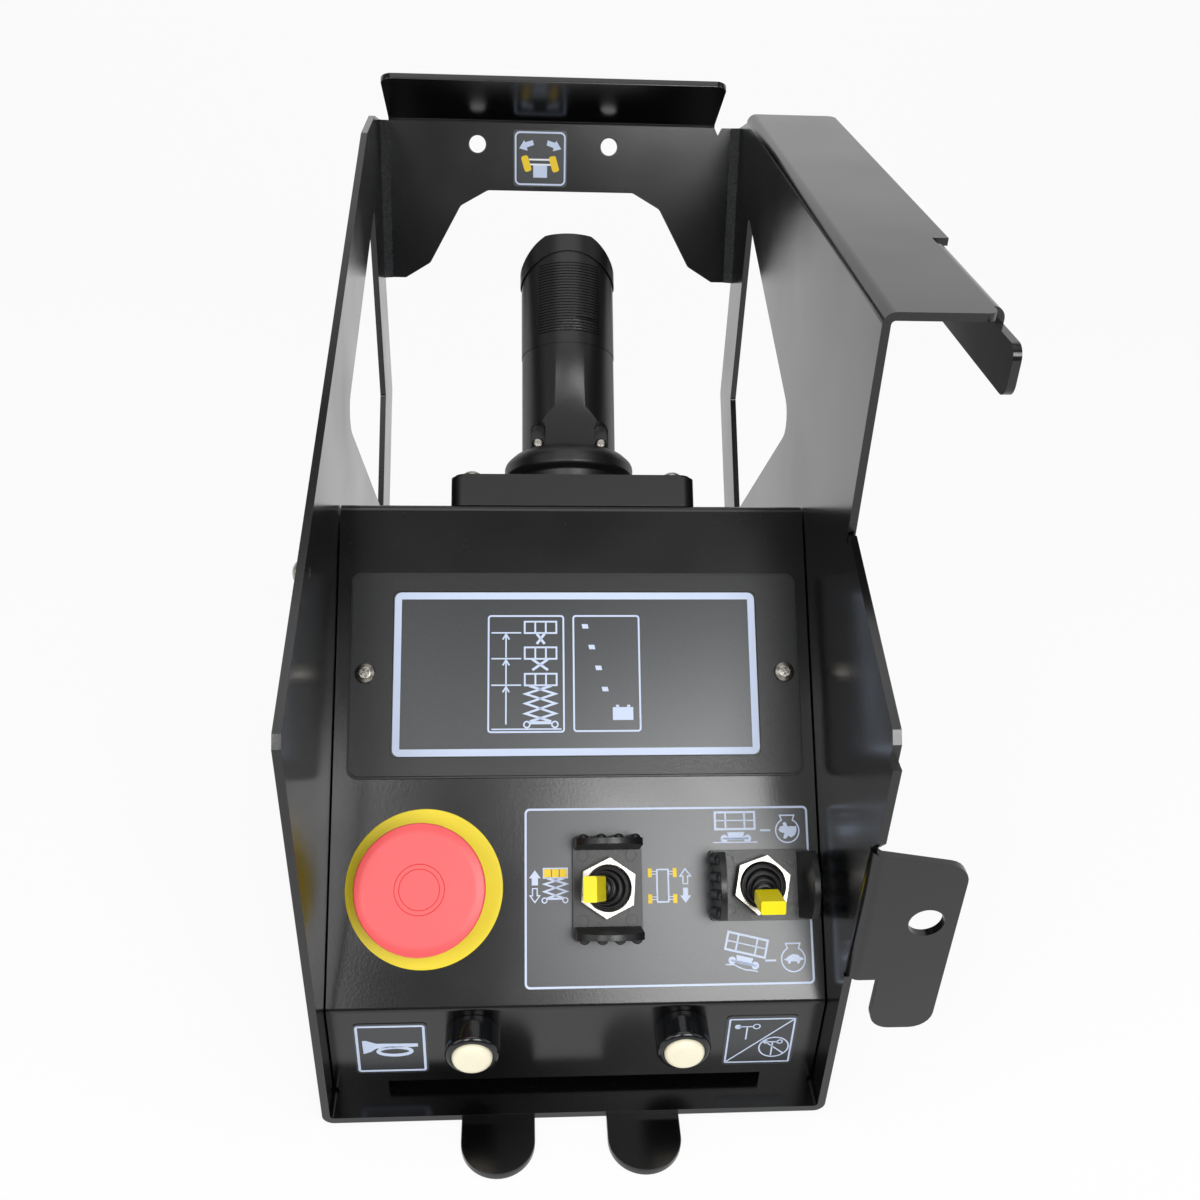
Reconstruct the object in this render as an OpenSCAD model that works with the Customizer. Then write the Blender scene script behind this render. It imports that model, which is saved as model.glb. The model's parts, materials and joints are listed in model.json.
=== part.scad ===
// Platform control box of a scissor lift: a folded steel guard with a rail hook and a lock tab,
// a wedge-shaped enclosure with its switches and display, and a drive joystick on the rear deck.
// X runs to the right, Y away from the operator and Z up. The origin lies under the mounting
// bracket, in the middle between the side plates and below the enclosure's lower front face.

/* [Guard] */
// Clear width between the side plates
inner_w = 190; // [180:1:240]
// Thickness of the guard's steel sheet
sheet_t = 3; // [2:0.5:4]
// Inner radius of the guard's bends
bend_inner_r = 1.5; // [1:0.5:3]
// How far the side plates stand before the enclosure's lower face
front_reach = 12.5; // [10:0.5:20]
// Height at which the sloped top edge would meet the front edge
front_top_h = 189.6; // [180:1:200]
// Rise of the top edge towards the rear, in degrees
top_slope = 17.4; // [12:0.2:19]
// Length of the bottom plate behind the enclosure's lower face
floor_l = 221; // [215:1:240]
// Where the side plates' upright rear edge stands
rear_y = 362.5; // [355:1:380]
// Width of the arm above the window
arm_w = 40; // [34:1:46]
// Width of the strip behind the window
rear_strip_w = 34.5; // [28:1:40]
// Width of the strip under the window
lower_strip_w = 32.5; // [28:1:40]
// Where the window's front corner would lie, left sharp
window_front_y = 178.5; // [172:1:190]

/* [Crossbar] */
// Height of the crossbar's lower edge
bar_foot_h = 207.5; // [200:1:215]
// Length of the crossbar up to its bend
bar_l = 80.3; // [76:0.5:84]
// Backward lean of the crossbar, in degrees
bar_lean = 14.4; // [10:0.2:18]
// Forward bend of the crossbar's upper flange, in degrees
bar_bend = 67; // [55:1:80]
// Depth of the upper flange beyond its bend
bar_flange_l = 42; // [30:1:55]
// Diameter of the two crossbar holes
bar_hole_d = 8.8; // [6:0.2:12]
// Distance between the two crossbar holes
bar_hole_pitch = 70; // [60:1:75]

/* [Rail hook] */
// Height of the hook's top face
hook_top_h = 297.7; // [294:0.5:304]
// Width of the channel that takes the rail
hook_gap = 37; // [30:1:45]
// Where the hook starts
hook_front_y = 71; // [65:1:85]
// Where the hook ends
hook_rear_y = 359; // [345:1:361]
// Where the lip starts
lip_front_y = 57; // [50:1:64]
// Where the lip ends
lip_rear_y = 145; // [120:1:180]
// Depth of the lip below the hook's top face
lip_depth = 24; // [18:1:35]

/* [Lock tab] */
// Height of the tab's lower edge
tab_low_h = 53.5; // [45:1:60]
// Height of the tab's upper edge
tab_top_h = 141; // [130:1:143]
// How far the tab stands out of the side plate
tab_w = 32; // [28:1:40]
// Height of the tab's hole
tab_hole_h = 109; // [98:1:118]
// Diameter of the tab's hole
tab_hole_d = 12.7; // [8:0.1:16]

/* [Mounting bracket] */
// Thickness of the bracket
bracket_t = 3; // [2:0.5:6]
// Width of each bracket tongue
tongue_w = 28.4; // [20:0.2:32]
// Distance between the tongues' middles
tongue_pitch = 56.4; // [45:1:60]
// How far the middle between the tongues lies to the left
tongue_offset = 2.3; // [0:0.1:8]
// How far the tongues reach before the enclosure's lower face
tongue_reach = 36; // [25:1:50]
// Length of the bracket behind the enclosure's lower face
bracket_l = 205; // [150:1:214]

/* [Enclosure] */
// Height of the lower front face
front_h = 49.6; // [46:0.2:56]
// Length of the sloping control panel
panel_l = 197.2; // [190:0.2:202]
// Slope of the control panel, in degrees
panel_tilt = 45; // [42:1:48]
// Length of the rear deck that carries the joystick
deck_l = 98; // [97:1:102]
// Thickness of the enclosure's sheet
shell_t = 2; // [1.5:0.5:3]
// Gap between the enclosure and each side plate
side_gap = 0.5; // [0:0.1:1]

/* [Display] */
// Width of the display's bezel
bezel_w = 179.2; // [150:0.2:184]
// Height of the display's bezel
bezel_h = 82; // [76:1:90]
// Thickness of the display's bezel
bezel_t = 3; // [2:0.5:5]
// Width of the display's label
screen_w = 144.7; // [110:0.1:146]
// Height of the display's label
screen_h = 65.5; // [56:0.5:70]

/* [Emergency stop] */
// Diameter of the yellow disc
estop_disc_d = 60; // [55:1:70]
// Diameter of the mushroom head
mushroom_d = 48; // [40:1:54]
// Height of the mushroom's crown above the panel
mushroom_top = 25.4; // [24:0.2:32]
// Diameter of the fixing hole
estop_hole_d = 22.3; // [20:0.1:24]
// Travel of the mushroom when pushed
estop_travel = 5; // [3:0.5:5.5]

/* [Toggle switches] */
// Width of a toggle guard's base, across its open sides
guard_w = 26.6; // [24:0.2:30]
// Length of a toggle guard between its walls' outer faces
guard_l = 37.2; // [34:0.2:40]
// Height of a toggle guard's wall at its middle
guard_wall_h = 21; // [18:1:26]
// Width across the flats of the toggle nut
toggle_nut_af = 20; // [19:0.5:24]
// Throw of the lever to each side, in degrees
toggle_throw = 18; // [10:1:20]
// Length of the lever from its pivot to the cap's tip
lever_l = 26; // [22:0.5:32]

/* [Push-buttons] */
// Distance between the two push-buttons
button_pitch = 80; // [70:1:90]
// Height of the push-buttons above the bottom plate's underside
button_h = 36; // [33:0.5:37]
// Diameter of the black barrel
barrel_d = 20.8; // [19:0.2:24]
// How far the barrel stands out of the face
barrel_l = 11.5; // [8:0.5:15]
// Diameter of the cream cap
button_cap_d = 15.4; // [13:0.2:16]
// Travel of a push-button
button_travel = 3; // [1:0.5:4]

/* [Joystick] */
// Width of the joystick's base
stick_base_w = 100.8; // [90:0.4:120]
// Depth of the joystick's base
stick_base_l = 92; // [86:1:94]
// Height of the joystick's base
stick_base_h = 14; // [12:0.5:18]
// Diameter of the grip
grip_d = 42; // [38:1:48]
// Height at which the grip starts
grip_foot = 36; // [34:1:40]
// Height of the joint between the lower grip and the ribbed sleeve
sleeve_foot = 83; // [76:1:86]
// Height of the joint between sleeve and cap, at the front
cap_foot = 127; // [124:1:130]
// Height of the grip's top
grip_top = 145.5; // [143:0.5:150]
// Number of ribs on the sleeve
rib_count = 25; // [10:1:30]

/* [Hidden] */

// Smoothness of round pieces and of rounded outline corners
$fn = 64;
arc_steps = 6;

// Fits and clearances
overrun = 1;
running_fit = 0.05;
screw_play = 0.2;
soft_gap = 0.3;

// Guard sheet
bend_r = bend_inner_r + sheet_t;
plate_x = inner_w / 2;
outer_x = plate_x + sheet_t;
corner_r = 4;
nose_cut = 3;
ear_front_y = 318;
ear_top_y = 355;
window_corner_r = 10;
window_small_r = 3;
window_rear_y = rear_y - rear_strip_w;
slit_w = 1.5;
slit_l = 4;
step_reach = 4.5;
step_low_h = 144;
step_high_h = 180;

side_screw_y = 62;
side_screw_drop = 9;
box_screw_front_y = 30;
box_screw_rear_y = 176;
box_screw_low_h = 30;
box_screw_high_y = 150;
box_screw_high_h = 125;

// Crossbar
bar_lap = 2;
bar_x = plate_x + bar_lap;
arch_foot_x = 84;
arch_low_x = 70.6;
arch_low_h = 8;
arch_shoulder_x = 53.8;
arch_shoulder_h = 38;
arch_top_x = 39;
arch_top_h = 46.2;
arch_r = 4;
bar_hole_mid_x = -9.4;
bar_hole_drop = 10.8;
bar_flange_left = 91;
bar_flange_right = 82;
bar_flange_r = 6;
bar_notch = 4;
weld_leg = 4.5;

// Rail hook and lock tab
hook_edge_h = hook_top_h - bend_r;
hook_bend_x = plate_x + bend_r;
lip_x = outer_x + hook_gap;
lip_bend_x = lip_x + sheet_t - bend_r;
hook_spread = 2;
hook_out_x = lip_x + sheet_t + hook_spread;
lip_relief = 7;
lip_r = 5;
tab_setback = 1.5;
tab_bend_y = tab_setback - front_reach;
tab_bend_low_h = 80;
tab_free_x = 8.5;
tab_r = 8;
tab_hole_in = 11;
tab_fall = 6;

// Enclosure
ridge_y = panel_l * cos(panel_tilt);
ridge_h = front_h + panel_l * sin(panel_tilt);
box_rear_y = ridge_y + deck_l * sin(panel_tilt);
box_rear_h = ridge_h - deck_l * cos(panel_tilt);
shell_x = plate_x - side_gap;
shell_bend_r = 3;
foot_relief = bend_inner_r + soft_gap;
drain_w = 147;
drain_h = 5;
rear_rim = 11;
cover_t = 2;
cover_edge = 1.5;
cover_top_gap = 5;
cover_h = box_rear_h - sheet_t - cover_top_gap;
rear_screw_shares = [0.12, 0.52];
gland_x = 50;
gland_h = 42;
gland_r = 11;
gland_l = 14;
gland_hole_r = 8;
module_w = 120;
module_l = 78;
module_h = 28;
module_y = 98;

// Pan-head screws
screw_head_r = 4;
screw_head_h = 2.6;
screw_shank_r = 2;
screw_l = 6;
head_round_share = 0.7;

// Display, measured on the panel from its lower edge
bezel_x = 0.4;
bezel_v = 127;
bezel_r = 4;
bezel_step = 0.8;
bezel_screw_x = 83;
screen_r = 2;
screen_sink = 0.5;
film_t = 0.3;
tub_w = 118;
tub_h = 50;
tub_l = 6;
board_t = 1.6;
board_margin = 4;

// Labels
control_left = -20.5;
control_right = 91;
control_low = 6.5;
control_high = 74.3;
label_r = 2;
small_label_w = 28;
small_label_h = 29;
small_label_x = 71.3;
small_label_low = 13.4;
steering_label_w = 28.6;
steering_label_x = -11.1;
steering_label_low = 48.5;

// Emergency stop
estop_x = -58.6;
estop_v = 44.4;
disc_t = 1.2;
collar_r = 14.5;
collar_foot = 14;
plunger_r = 6;
plunger_foot = 13;
estop_nut_r = 15;
estop_nut_t = 5;
head_foot = 10;
collar_top = head_foot - estop_travel - soft_gap;
head_foot_r = 17;
head_shoulder_h = 17;
head_edge_drop = 4.5;
head_edge_r = 3;
head_roof = 12;
head_hub_r = 9;
head_bore_top = 19;
block_side = 30;
block_l = 26;
block_pocket = 6;
block_pocket_r = 7.5;

// Toggle switches
lift_x = 11.4;
lift_v = 43.7;
speed_x = 70.7;
speed_v = 44;
guard_base_t = 3;
guard_r = 1.5;
guard_wall_w = 25;
guard_wall_top_t = 2.2;
guard_wall_foot_t = 4.2;
guard_crown_r = 16;
guard_wall_out = guard_l / 2;
guard_rib_r = 2.1;
guard_rib_pitch = 6.5;
guard_inner_rib_h = 19.5;
guard_outer_rib_h = 16.5;
bushing_r = 5.95;
bushing_top = 6.5;
bushing_bore_r = 4;
toggle_pivot_h = 2;
toggle_body_w = 18;
toggle_body_l = 30;
toggle_body_h = 28;
toggle_well = 8;
toggle_nut_t = 5;
nut_floor_t = 1.8;
nut_rim_r = 8.8;
lift_nut_turn = -4;
speed_nut_turn = 19;
lever_r = 2;
lever_pin_r = 1;
lever_pin_half = bushing_r - running_fit;
tail_r = 1.5;
tail_l = 5;
cap_t = 5.2;
cap_w = 9.4;
cap_l = 13.5;
cap_corner_r = 0.8;
boot_neck_r = 3.8;
boot_rib_r = 0.9;

// Push-buttons
button_hole_r = 8.1;
button_stem_r = 3;
barrel_edge_r = 2;
barrel_well = 7;
cap_front = 13.6;
cap_edge_r = 2.5;
button_nut_t = 3.5;
button_nut_r = 11;
button_barrel_tail = 12;
button_block_side = 17;
button_block_l = 18;
button_stem_tail = 13;

// Joystick, measured from the ridge along the deck and square to it
stick_b = 48;
stick_base_r = 5;
base_step = 1.2;
base_hole_r = 24;
base_screw_x = 42;
base_screw_in = 8;
pivot_h = 6;
pin_r = 3;
pin_half = 19.5;
cheek_in = 14;
cheek_t = 5.5;
cheek_half = 6;
cheek_top = 12;
hub_r = 9;
shaft_r = 7;
shaft_top = 62;
well_half = 29;
well_depth = 44;
well_r = 22;
well_floor = 30;
boot_foot_r = 30;
boot_foot_t = 2.5;
boot_wall = 2.5;
boot_collar_r = 26.5;
boot_collar_top = 25;
boot_ring_r = 28.5;
boot_hole_r = 9;
flat_top = 55.5;
flat_foot_depth = 11.6;
slot_x = 14;
slot_r = 3.2;
slot_low = 39;
slot_high = 44.4;
slot_floor = 10;
grip_screw_r = 2.6;
grip_screw_h = 2.4;
grip_clamp_r = 1.5;
rib_foot = 88;
rib_top = 122;
rib_depth = 0.6;
rib_half_angle = 40;
rib_root_share = 0.35;
sleeve_proud = 0.2;
cap_proud = 0.8;
cap_dome_r = 31.6;
cap_flat_w = 21;
cap_shoulder_drop = 14;
rocker_r = 9;
rocker_l = 24;
rocker_pivot = grip_top - rocker_r;
rocker_floor = 3;
rocker_face_tilt = 7;
small_pin_r = 1.5;
trigger_w = 13.4;
trigger_pivot_b = 16;
trigger_drop = 9;
trigger_l = 25;
trigger_pivot_h = cap_foot - trigger_drop;
trigger_low = trigger_pivot_h - trigger_l;
trigger_out = 26;
trigger_well = 10;
trigger_play = 0.5;

// A corner of an outline at b, between a and c, rounded by the radius r
function unit(v) = v / norm(v);
function turned(v, angle) = [v.x * cos(angle) - v.y * sin(angle), v.x * sin(angle) + v.y * cos(angle)];
function corner(a, b, c, r) =
    r == 0 ? [b] :
    let (
        u = unit(a - b),
        w = unit(c - b),
        half = acos(u * w) / 2,
        middle = b + unit(u + w) * r / sin(half),
        start = b + u * r / tan(half) - middle,
        sweep = (180 - 2 * half) * (cross(u, w) > 0 ? -1 : 1)
    )
    [for (i = [0 : arc_steps]) middle + turned(start, sweep * i / arc_steps)];

// A closed outline from points that each hold two places and a corner radius
function rounded(points) =
    let (n = len(points), flat = [for (p = points) [p[0], p[1]]])
    [for (i = [0 : n - 1]) each corner(flat[(i + n - 1) % n], flat[i], flat[(i + 1) % n], points[i][2])];

// A rectangle round the origin with rounded corners
function round_box(w, h, r) = rounded([
    [-w / 2, -h / 2, r], [w / 2, -h / 2, r], [w / 2, h / 2, r], [-w / 2, h / 2, r]
]);

// Heights of the side plates' sloped lines at a distance y from the lower face
function top_line(y) = front_top_h + (y + front_reach) * tan(top_slope);
function arm_line(y) = top_line(y) - arm_w / cos(top_slope);

// Outlines of the side plates and of their windows, as places along y and up
ear_rear_y = rear_y + bar_l * sin(bar_lean);
ear_rear_h = bar_foot_h + bar_l * cos(bar_lean);
rear_points = [
    [ear_rear_y, ear_rear_h, corner_r],
    [rear_y, bar_foot_h, 0],
    [rear_y, rear_y - floor_l, corner_r],
    [floor_l, bend_r, 0]
];
window_front_h = arm_line(window_front_y);
window_foot_y = (window_front_y + window_front_h + floor_l - lower_strip_w / cos(45)) / 2;
window_points = [
    [window_front_y, window_front_h, window_corner_r],
    [window_rear_y, arm_line(window_rear_y), window_small_r],
    [window_rear_y, window_rear_y - floor_l + lower_strip_w / cos(45), window_small_r],
    [window_foot_y, window_front_y + window_front_h - window_foot_y, window_small_r]
];
nose_points = [
    [-front_reach, front_top_h - nose_cut, 0],
    [nose_cut - front_reach, top_line(nose_cut - front_reach), 0]
];

side_screw_h = top_line(side_screw_y) - side_screw_drop;
box_screw_places = [
    [box_screw_front_y, box_screw_low_h], [box_screw_rear_y, box_screw_low_h],
    [box_screw_high_y, box_screw_high_h]
];

// Places on which the pieces are drawn: the guard, the lower face, the sloping panel, the rear deck
// and the crossbar. On each face x runs to the right, y up or along the face and z out of it.
module on_guard() translate([0, 0, bracket_t]) children();
module on_front() on_guard() rotate([90, 0, 0]) children();
module on_panel() translate([0, 0, bracket_t + front_h]) rotate([panel_tilt, 0, 0]) children();
module on_deck() translate([0, ridge_y, bracket_t + ridge_h]) rotate([panel_tilt - 90, 0, 0]) children();
module on_stick() on_deck() translate([0, stick_b, 0]) children();
module on_bar() translate([0, rear_y, bracket_t + bar_foot_h]) rotate([90 - bar_lean, 0, 0]) children();

// A piece of sheet cut to an outline, and the bent strip that joins two such pieces
module sheet(points, t = sheet_t) linear_extrude(t) polygon(rounded(points));
module bend(angle, length) {
    rotate_extrude(angle = angle) translate([bend_inner_r, 0]) square([sheet_t, length]);
}
module bend_along_y(x, y_end, h, start, length) {
    translate([x, y_end, h]) rotate([90, 0, 0]) rotate([0, 0, start]) bend(90, length);
}

module hole(r, top, foot) translate([0, 0, -foot]) cylinder(h = foot + top, r = r);

module pan_screw(head_r = screw_head_r, head_h = screw_head_h, shank_r = screw_shank_r, length = screw_l) {
    rotate_extrude() polygon(rounded([
        [0, 0, 0], [head_r, 0, 0], [head_r, head_h, head_h * head_round_share], [0, head_h, 0]
    ]));
    hole(shank_r, 0, length);
}

// Guard

module mounting_bracket() {
    tongue_r = tongue_w / 2;
    body_w = tongue_pitch + tongue_w;
    body_front = -tongue_r / 2;
    color("#101113") translate([-tongue_offset, 0, 0]) {
        translate([-body_w / 2, body_front, 0]) cube([body_w, bracket_l - body_front, bracket_t]);
        for (side = [-1, 1]) translate([side * tongue_pitch / 2, tongue_r - tongue_reach, 0]) {
            cylinder(h = bracket_t, r = tongue_r);
            translate([-tongue_r, 0, 0]) cube([tongue_w, tongue_reach - tongue_r, bracket_t]);
        }
    }
}

module bottom_plate() {
    flat_x = outer_x - bend_r;
    length = floor_l + front_reach;
    color("#101113") on_guard() {
        translate([-flat_x, -front_reach, 0]) cube([2 * flat_x, length, sheet_t]);
        bend_along_y(flat_x, floor_l, bend_r, -90, length);
        bend_along_y(-flat_x, floor_l, bend_r, 180, length);
    }
}

module side_plate(points, places = box_screw_places) {
    on_guard() rotate([90, 0, 90]) difference() {
        sheet(points);
        translate([0, 0, -overrun]) sheet(window_points, sheet_t + 2 * overrun);
        for (place = places) translate([place.x, place.y, 0])
            hole(screw_shank_r + screw_play, sheet_t + overrun, overrun);
    }
}

module left_side_plate() {
    color("#101113") translate([-outer_x, 0, 0]) side_plate(concat(
        [[-front_reach, bend_r, 0]],
        nose_points,
        [[ear_front_y, top_line(ear_front_y), corner_r], [ear_top_y, top_line(ear_front_y), corner_r]],
        rear_points
    ), concat(box_screw_places, [[side_screw_y, side_screw_h]]));
}

module right_side_plate() {
    slit_top = top_line(hook_front_y - slit_w);
    color("#101113") translate([plate_x, 0, 0]) side_plate(concat(
        [
            [-front_reach, bend_r, 0],
            [-front_reach, tab_bend_low_h - slit_w, 0],
            [tab_bend_y, tab_bend_low_h - slit_w, 0],
            [tab_bend_y, tab_top_h + slit_w, 0],
            [-front_reach, tab_top_h + slit_w, 0],
            [-front_reach - step_reach, step_low_h + step_reach, 0],
            [-front_reach - step_reach, step_high_h, 0],
            [-front_reach, step_high_h, 0]
        ],
        nose_points,
        [
            [hook_front_y - slit_w, slit_top, 0],
            [hook_front_y - slit_w, slit_top - slit_l, 0],
            [hook_front_y, slit_top - slit_l, 0],
            [hook_front_y, hook_edge_h, 0],
            [hook_rear_y, hook_edge_h, 0]
        ],
        rear_points
    ));
}

module rail_hook() {
    hook_l = hook_rear_y - hook_front_y;
    lip_bend_y = hook_front_y + lip_relief;
    color("#101113") on_guard() {
        bend_along_y(hook_bend_x, hook_rear_y, hook_edge_h, 90, hook_l);
        translate([0, 0, hook_top_h - sheet_t]) sheet([
            [hook_bend_x, hook_front_y, 0],
            [lip_bend_x, hook_front_y, corner_r],
            [lip_bend_x, lip_rear_y + lip_relief, 0],
            [hook_out_x, lip_rear_y + lip_relief, 0],
            [hook_out_x, hook_rear_y, corner_r],
            [hook_bend_x, hook_rear_y, 0]
        ]);
        bend_along_y(lip_bend_x, lip_rear_y, hook_edge_h, 0, lip_rear_y - lip_bend_y);
        translate([lip_x, 0, 0]) rotate([90, 0, 90]) sheet([
            [lip_bend_y, hook_edge_h, 0],
            [lip_bend_y, hook_edge_h - bend_inner_r, 0],
            [lip_front_y, hook_edge_h - bend_inner_r, lip_r],
            [lip_front_y, hook_top_h - lip_depth, lip_r],
            [lip_rear_y, hook_top_h - lip_depth, lip_r],
            [lip_rear_y, hook_edge_h, 0]
        ]);
    }
}

module lock_tab() {
    bend_x = plate_x + bend_r;
    out_x = outer_x + tab_w;
    color("#101113") on_guard() {
        translate([bend_x, tab_bend_y, tab_bend_low_h]) rotate([0, 0, 180])
            bend(90, tab_top_h - tab_bend_low_h);
        translate([0, tab_bend_y - bend_inner_r, 0]) rotate([90, 0, 0]) difference() {
            sheet([
                [bend_x, tab_bend_low_h, 0],
                [bend_x, tab_top_h, 0],
                [out_x, tab_top_h - tab_fall, tab_r],
                [out_x, tab_low_h, tab_r],
                [outer_x + tab_free_x, tab_low_h, tab_r],
                [outer_x + tab_free_x, tab_bend_low_h, 0]
            ]);
            translate([out_x - tab_hole_in, tab_hole_h, 0])
                hole(tab_hole_d / 2, sheet_t + overrun, overrun);
        }
    }
}

// What rounding takes off a sheet's corner that lies at the origin, with the sheet at its lower left
module corner_cut(r) {
    translate([0, 0, -overrun]) linear_extrude(sheet_t + 2 * overrun) difference() {
        translate([-r, -r]) square(r + overrun);
        translate([-r, -r]) circle(r);
    }
}

module rear_crossbar() {
    flange_way = [cos(bar_bend), sin(bar_bend)];
    outer_tip = [bar_l, bend_inner_r] + bend_r * [flange_way.y, -flange_way.x] + bar_flange_l * flange_way;
    inner_tip = outer_tip + sheet_t * [-flange_way.y, flange_way.x];
    flange_points = [
        [bar_l - bar_notch, -sheet_t, 0],
        [bar_l + bend_r * tan(bar_bend / 2), -sheet_t, bend_r],
        [outer_tip.x, outer_tip.y, 0],
        [inner_tip.x, inner_tip.y, 0],
        [bar_l + bend_inner_r * tan(bar_bend / 2), 0, bend_inner_r],
        [bar_l - bar_notch, 0, 0]
    ];
    color("#101113") on_bar() {
        difference() {
            translate([0, 0, -sheet_t]) sheet([
                [-bar_x, 0, 0], [-arch_foot_x, 0, 0], [-arch_low_x, arch_low_h, arch_r],
                [-arch_shoulder_x, arch_shoulder_h, arch_r], [-arch_top_x, arch_top_h, arch_r],
                [arch_top_x, arch_top_h, arch_r], [arch_shoulder_x, arch_shoulder_h, arch_r],
                [arch_low_x, arch_low_h, arch_r], [arch_foot_x, 0, 0], [bar_x, 0, 0],
                [bar_x, bar_l, 0],
                [bar_flange_right + bar_notch, bar_l, 0],
                [bar_flange_right + bar_notch / 2, bar_l - bar_notch, 0],
                [bar_flange_right, bar_l, 0],
                [-bar_flange_left, bar_l, 0],
                [-bar_flange_left - bar_notch / 4, bar_l - bar_notch, 0],
                [-bar_flange_left - bar_notch / 2, bar_l, 0],
                [-bar_x, bar_l, 0]
            ]);
            for (side = [-1, 1])
                translate([bar_hole_mid_x + side * bar_hole_pitch / 2, bar_l - bar_hole_drop, 0])
                    hole(bar_hole_d / 2, overrun, sheet_t + overrun);
        }
        difference() {
            translate([-bar_flange_left, 0, 0]) rotate([90, 0, 90])
                linear_extrude(bar_flange_right + bar_flange_left) polygon(rounded(flange_points));
            translate([0, bar_l, bend_inner_r]) rotate([bar_bend, 0, 0]) {
                translate([bar_flange_right, bar_flange_l, -bend_r]) corner_cut(bar_flange_r);
                translate([-bar_flange_left, bar_flange_l, -bend_r]) mirror([1, 0, 0])
                    corner_cut(bar_flange_r);
            }
        }
    }
}

module weld_beads() {
    color("#16171a") on_bar() for (side = [-1, 1]) mirror([side < 0 ? 1 : 0, 0, 0])
        translate([plate_x, 0, 0]) rotate([-90, 0, 0])
            linear_extrude(bar_l) polygon(rounded([[0, 0, 0], [-weld_leg, 0, 0], [0, -weld_leg, 0]]));
}

module side_screw() {
    color("silver") on_guard() translate([-outer_x, side_screw_y, side_screw_h]) rotate([0, -90, 0])
        pan_screw(length = sheet_t);
}

module enclosure_screws() {
    color("silver") on_guard() for (place = box_screw_places) for (side = [-1, 1])
        translate([side * outer_x, place.x, place.y]) rotate([0, side * 90, 0])
            pan_screw(length = sheet_t + side_gap + shell_t);
}

// Enclosure

module panel_hole(x, v, r) {
    on_panel() translate([x, v, 0]) hole(r, overrun, shell_t + overrun);
}

module enclosure_shell() {
    inner_ridge = ridge_h - shell_t / cos(panel_tilt);
    rim_front = box_rear_y - shell_t;
    color("#0d0e10") difference() {
        on_guard() translate([-shell_x, 0, 0]) rotate([90, 0, 90]) linear_extrude(2 * shell_x)
            polygon(rounded([
                [0, sheet_t, 0], [0, front_h, shell_bend_r], [ridge_y, ridge_h, shell_bend_r],
                [box_rear_y, box_rear_h, shell_bend_r], [box_rear_y, sheet_t, 0]
            ]));
        on_guard() translate([-shell_x + shell_t, 0, 0]) rotate([90, 0, 90])
            linear_extrude(2 * (shell_x - shell_t)) polygon([
                [shell_t, sheet_t - overrun],
                [shell_t, front_h - shell_t * tan(panel_tilt / 2)],
                [ridge_y, inner_ridge],
                [rim_front, inner_ridge - (rim_front - ridge_y) / tan(panel_tilt)],
                [rim_front, sheet_t - overrun]
            ]);
        on_guard() translate([-shell_x + rear_rim, rim_front - overrun, sheet_t - overrun])
            cube([2 * (shell_x - rear_rim), shell_t + 2 * overrun, box_rear_h - sheet_t - 2 * rear_rim]);
        for (side = [0, 1]) mirror([side, 0, 0])
            on_guard() translate([plate_x - foot_relief, -overrun, sheet_t - overrun])
                cube([foot_relief, box_rear_y + 2 * overrun, foot_relief + overrun]);
        on_guard() translate([-drain_w / 2, -overrun, sheet_t - overrun])
            cube([drain_w, shell_t + 2 * overrun, drain_h + overrun]);
        on_panel() translate([bezel_x, bezel_v, -shell_t - overrun]) linear_extrude(shell_t + 2 * overrun)
            square([tub_w + 2 * screw_play, tub_h + 2 * screw_play], center = true);
        for (side = [-1, 1]) {
            panel_hole(bezel_x + side * bezel_screw_x, bezel_v, screw_shank_r + screw_play);
            on_front() translate([side * button_pitch / 2, button_h, 0])
                hole(button_hole_r, overrun, shell_t + overrun);
        }
        panel_hole(estop_x, estop_v, estop_hole_d / 2);
        panel_hole(lift_x, lift_v, bushing_r + screw_play);
        panel_hole(speed_x, speed_v, bushing_r + screw_play);
        on_stick() translate([-well_half - screw_play, -well_half - screw_play, -shell_t - overrun])
            cube([2 * (well_half + screw_play), 2 * (well_half + screw_play), shell_t + 2 * overrun]);
        base_screw_holes(screw_shank_r + screw_play, overrun, shell_t + overrun);
        on_guard() for (place = box_screw_places) translate([-outer_x, place.x, place.y])
            rotate([0, 90, 0]) cylinder(h = 2 * outer_x, r = screw_shank_r + screw_play);
        cover_screw_places() hole(screw_shank_r + screw_play, overrun, shell_t + cover_t + overrun);
    }
}

module cover_screw_places() {
    inset = rear_rim / 2;
    for (x = [-shell_x + inset, 0, shell_x - inset]) on_guard()
        translate([x, box_rear_y + cover_t, sheet_t + cover_h - inset - cover_edge]) rotate([-90, 0, 0])
            children();
    for (side = [-1, 1]) for (share = rear_screw_shares) on_guard()
        translate([side * (shell_x - inset), box_rear_y + cover_t, sheet_t + cover_h * share])
            rotate([-90, 0, 0]) children();
}

module rear_cover() {
    width = 2 * (shell_x - cover_edge);
    color("#0d0e10") difference() {
        on_guard() translate([0, box_rear_y + cover_t, sheet_t + cover_h / 2]) rotate([90, 0, 0])
            linear_extrude(cover_t) polygon(round_box(width, cover_h - cover_edge, corner_r));
        cover_screw_places() hole(screw_shank_r + screw_play, overrun, cover_t + overrun);
        on_guard() translate([gland_x, box_rear_y + cover_t, gland_h]) rotate([-90, 0, 0])
            hole(gland_hole_r + screw_play, overrun, cover_t + overrun);
    }
}

module cover_screws() {
    color("silver") cover_screw_places() pan_screw(length = cover_t + shell_t);
}

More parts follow.
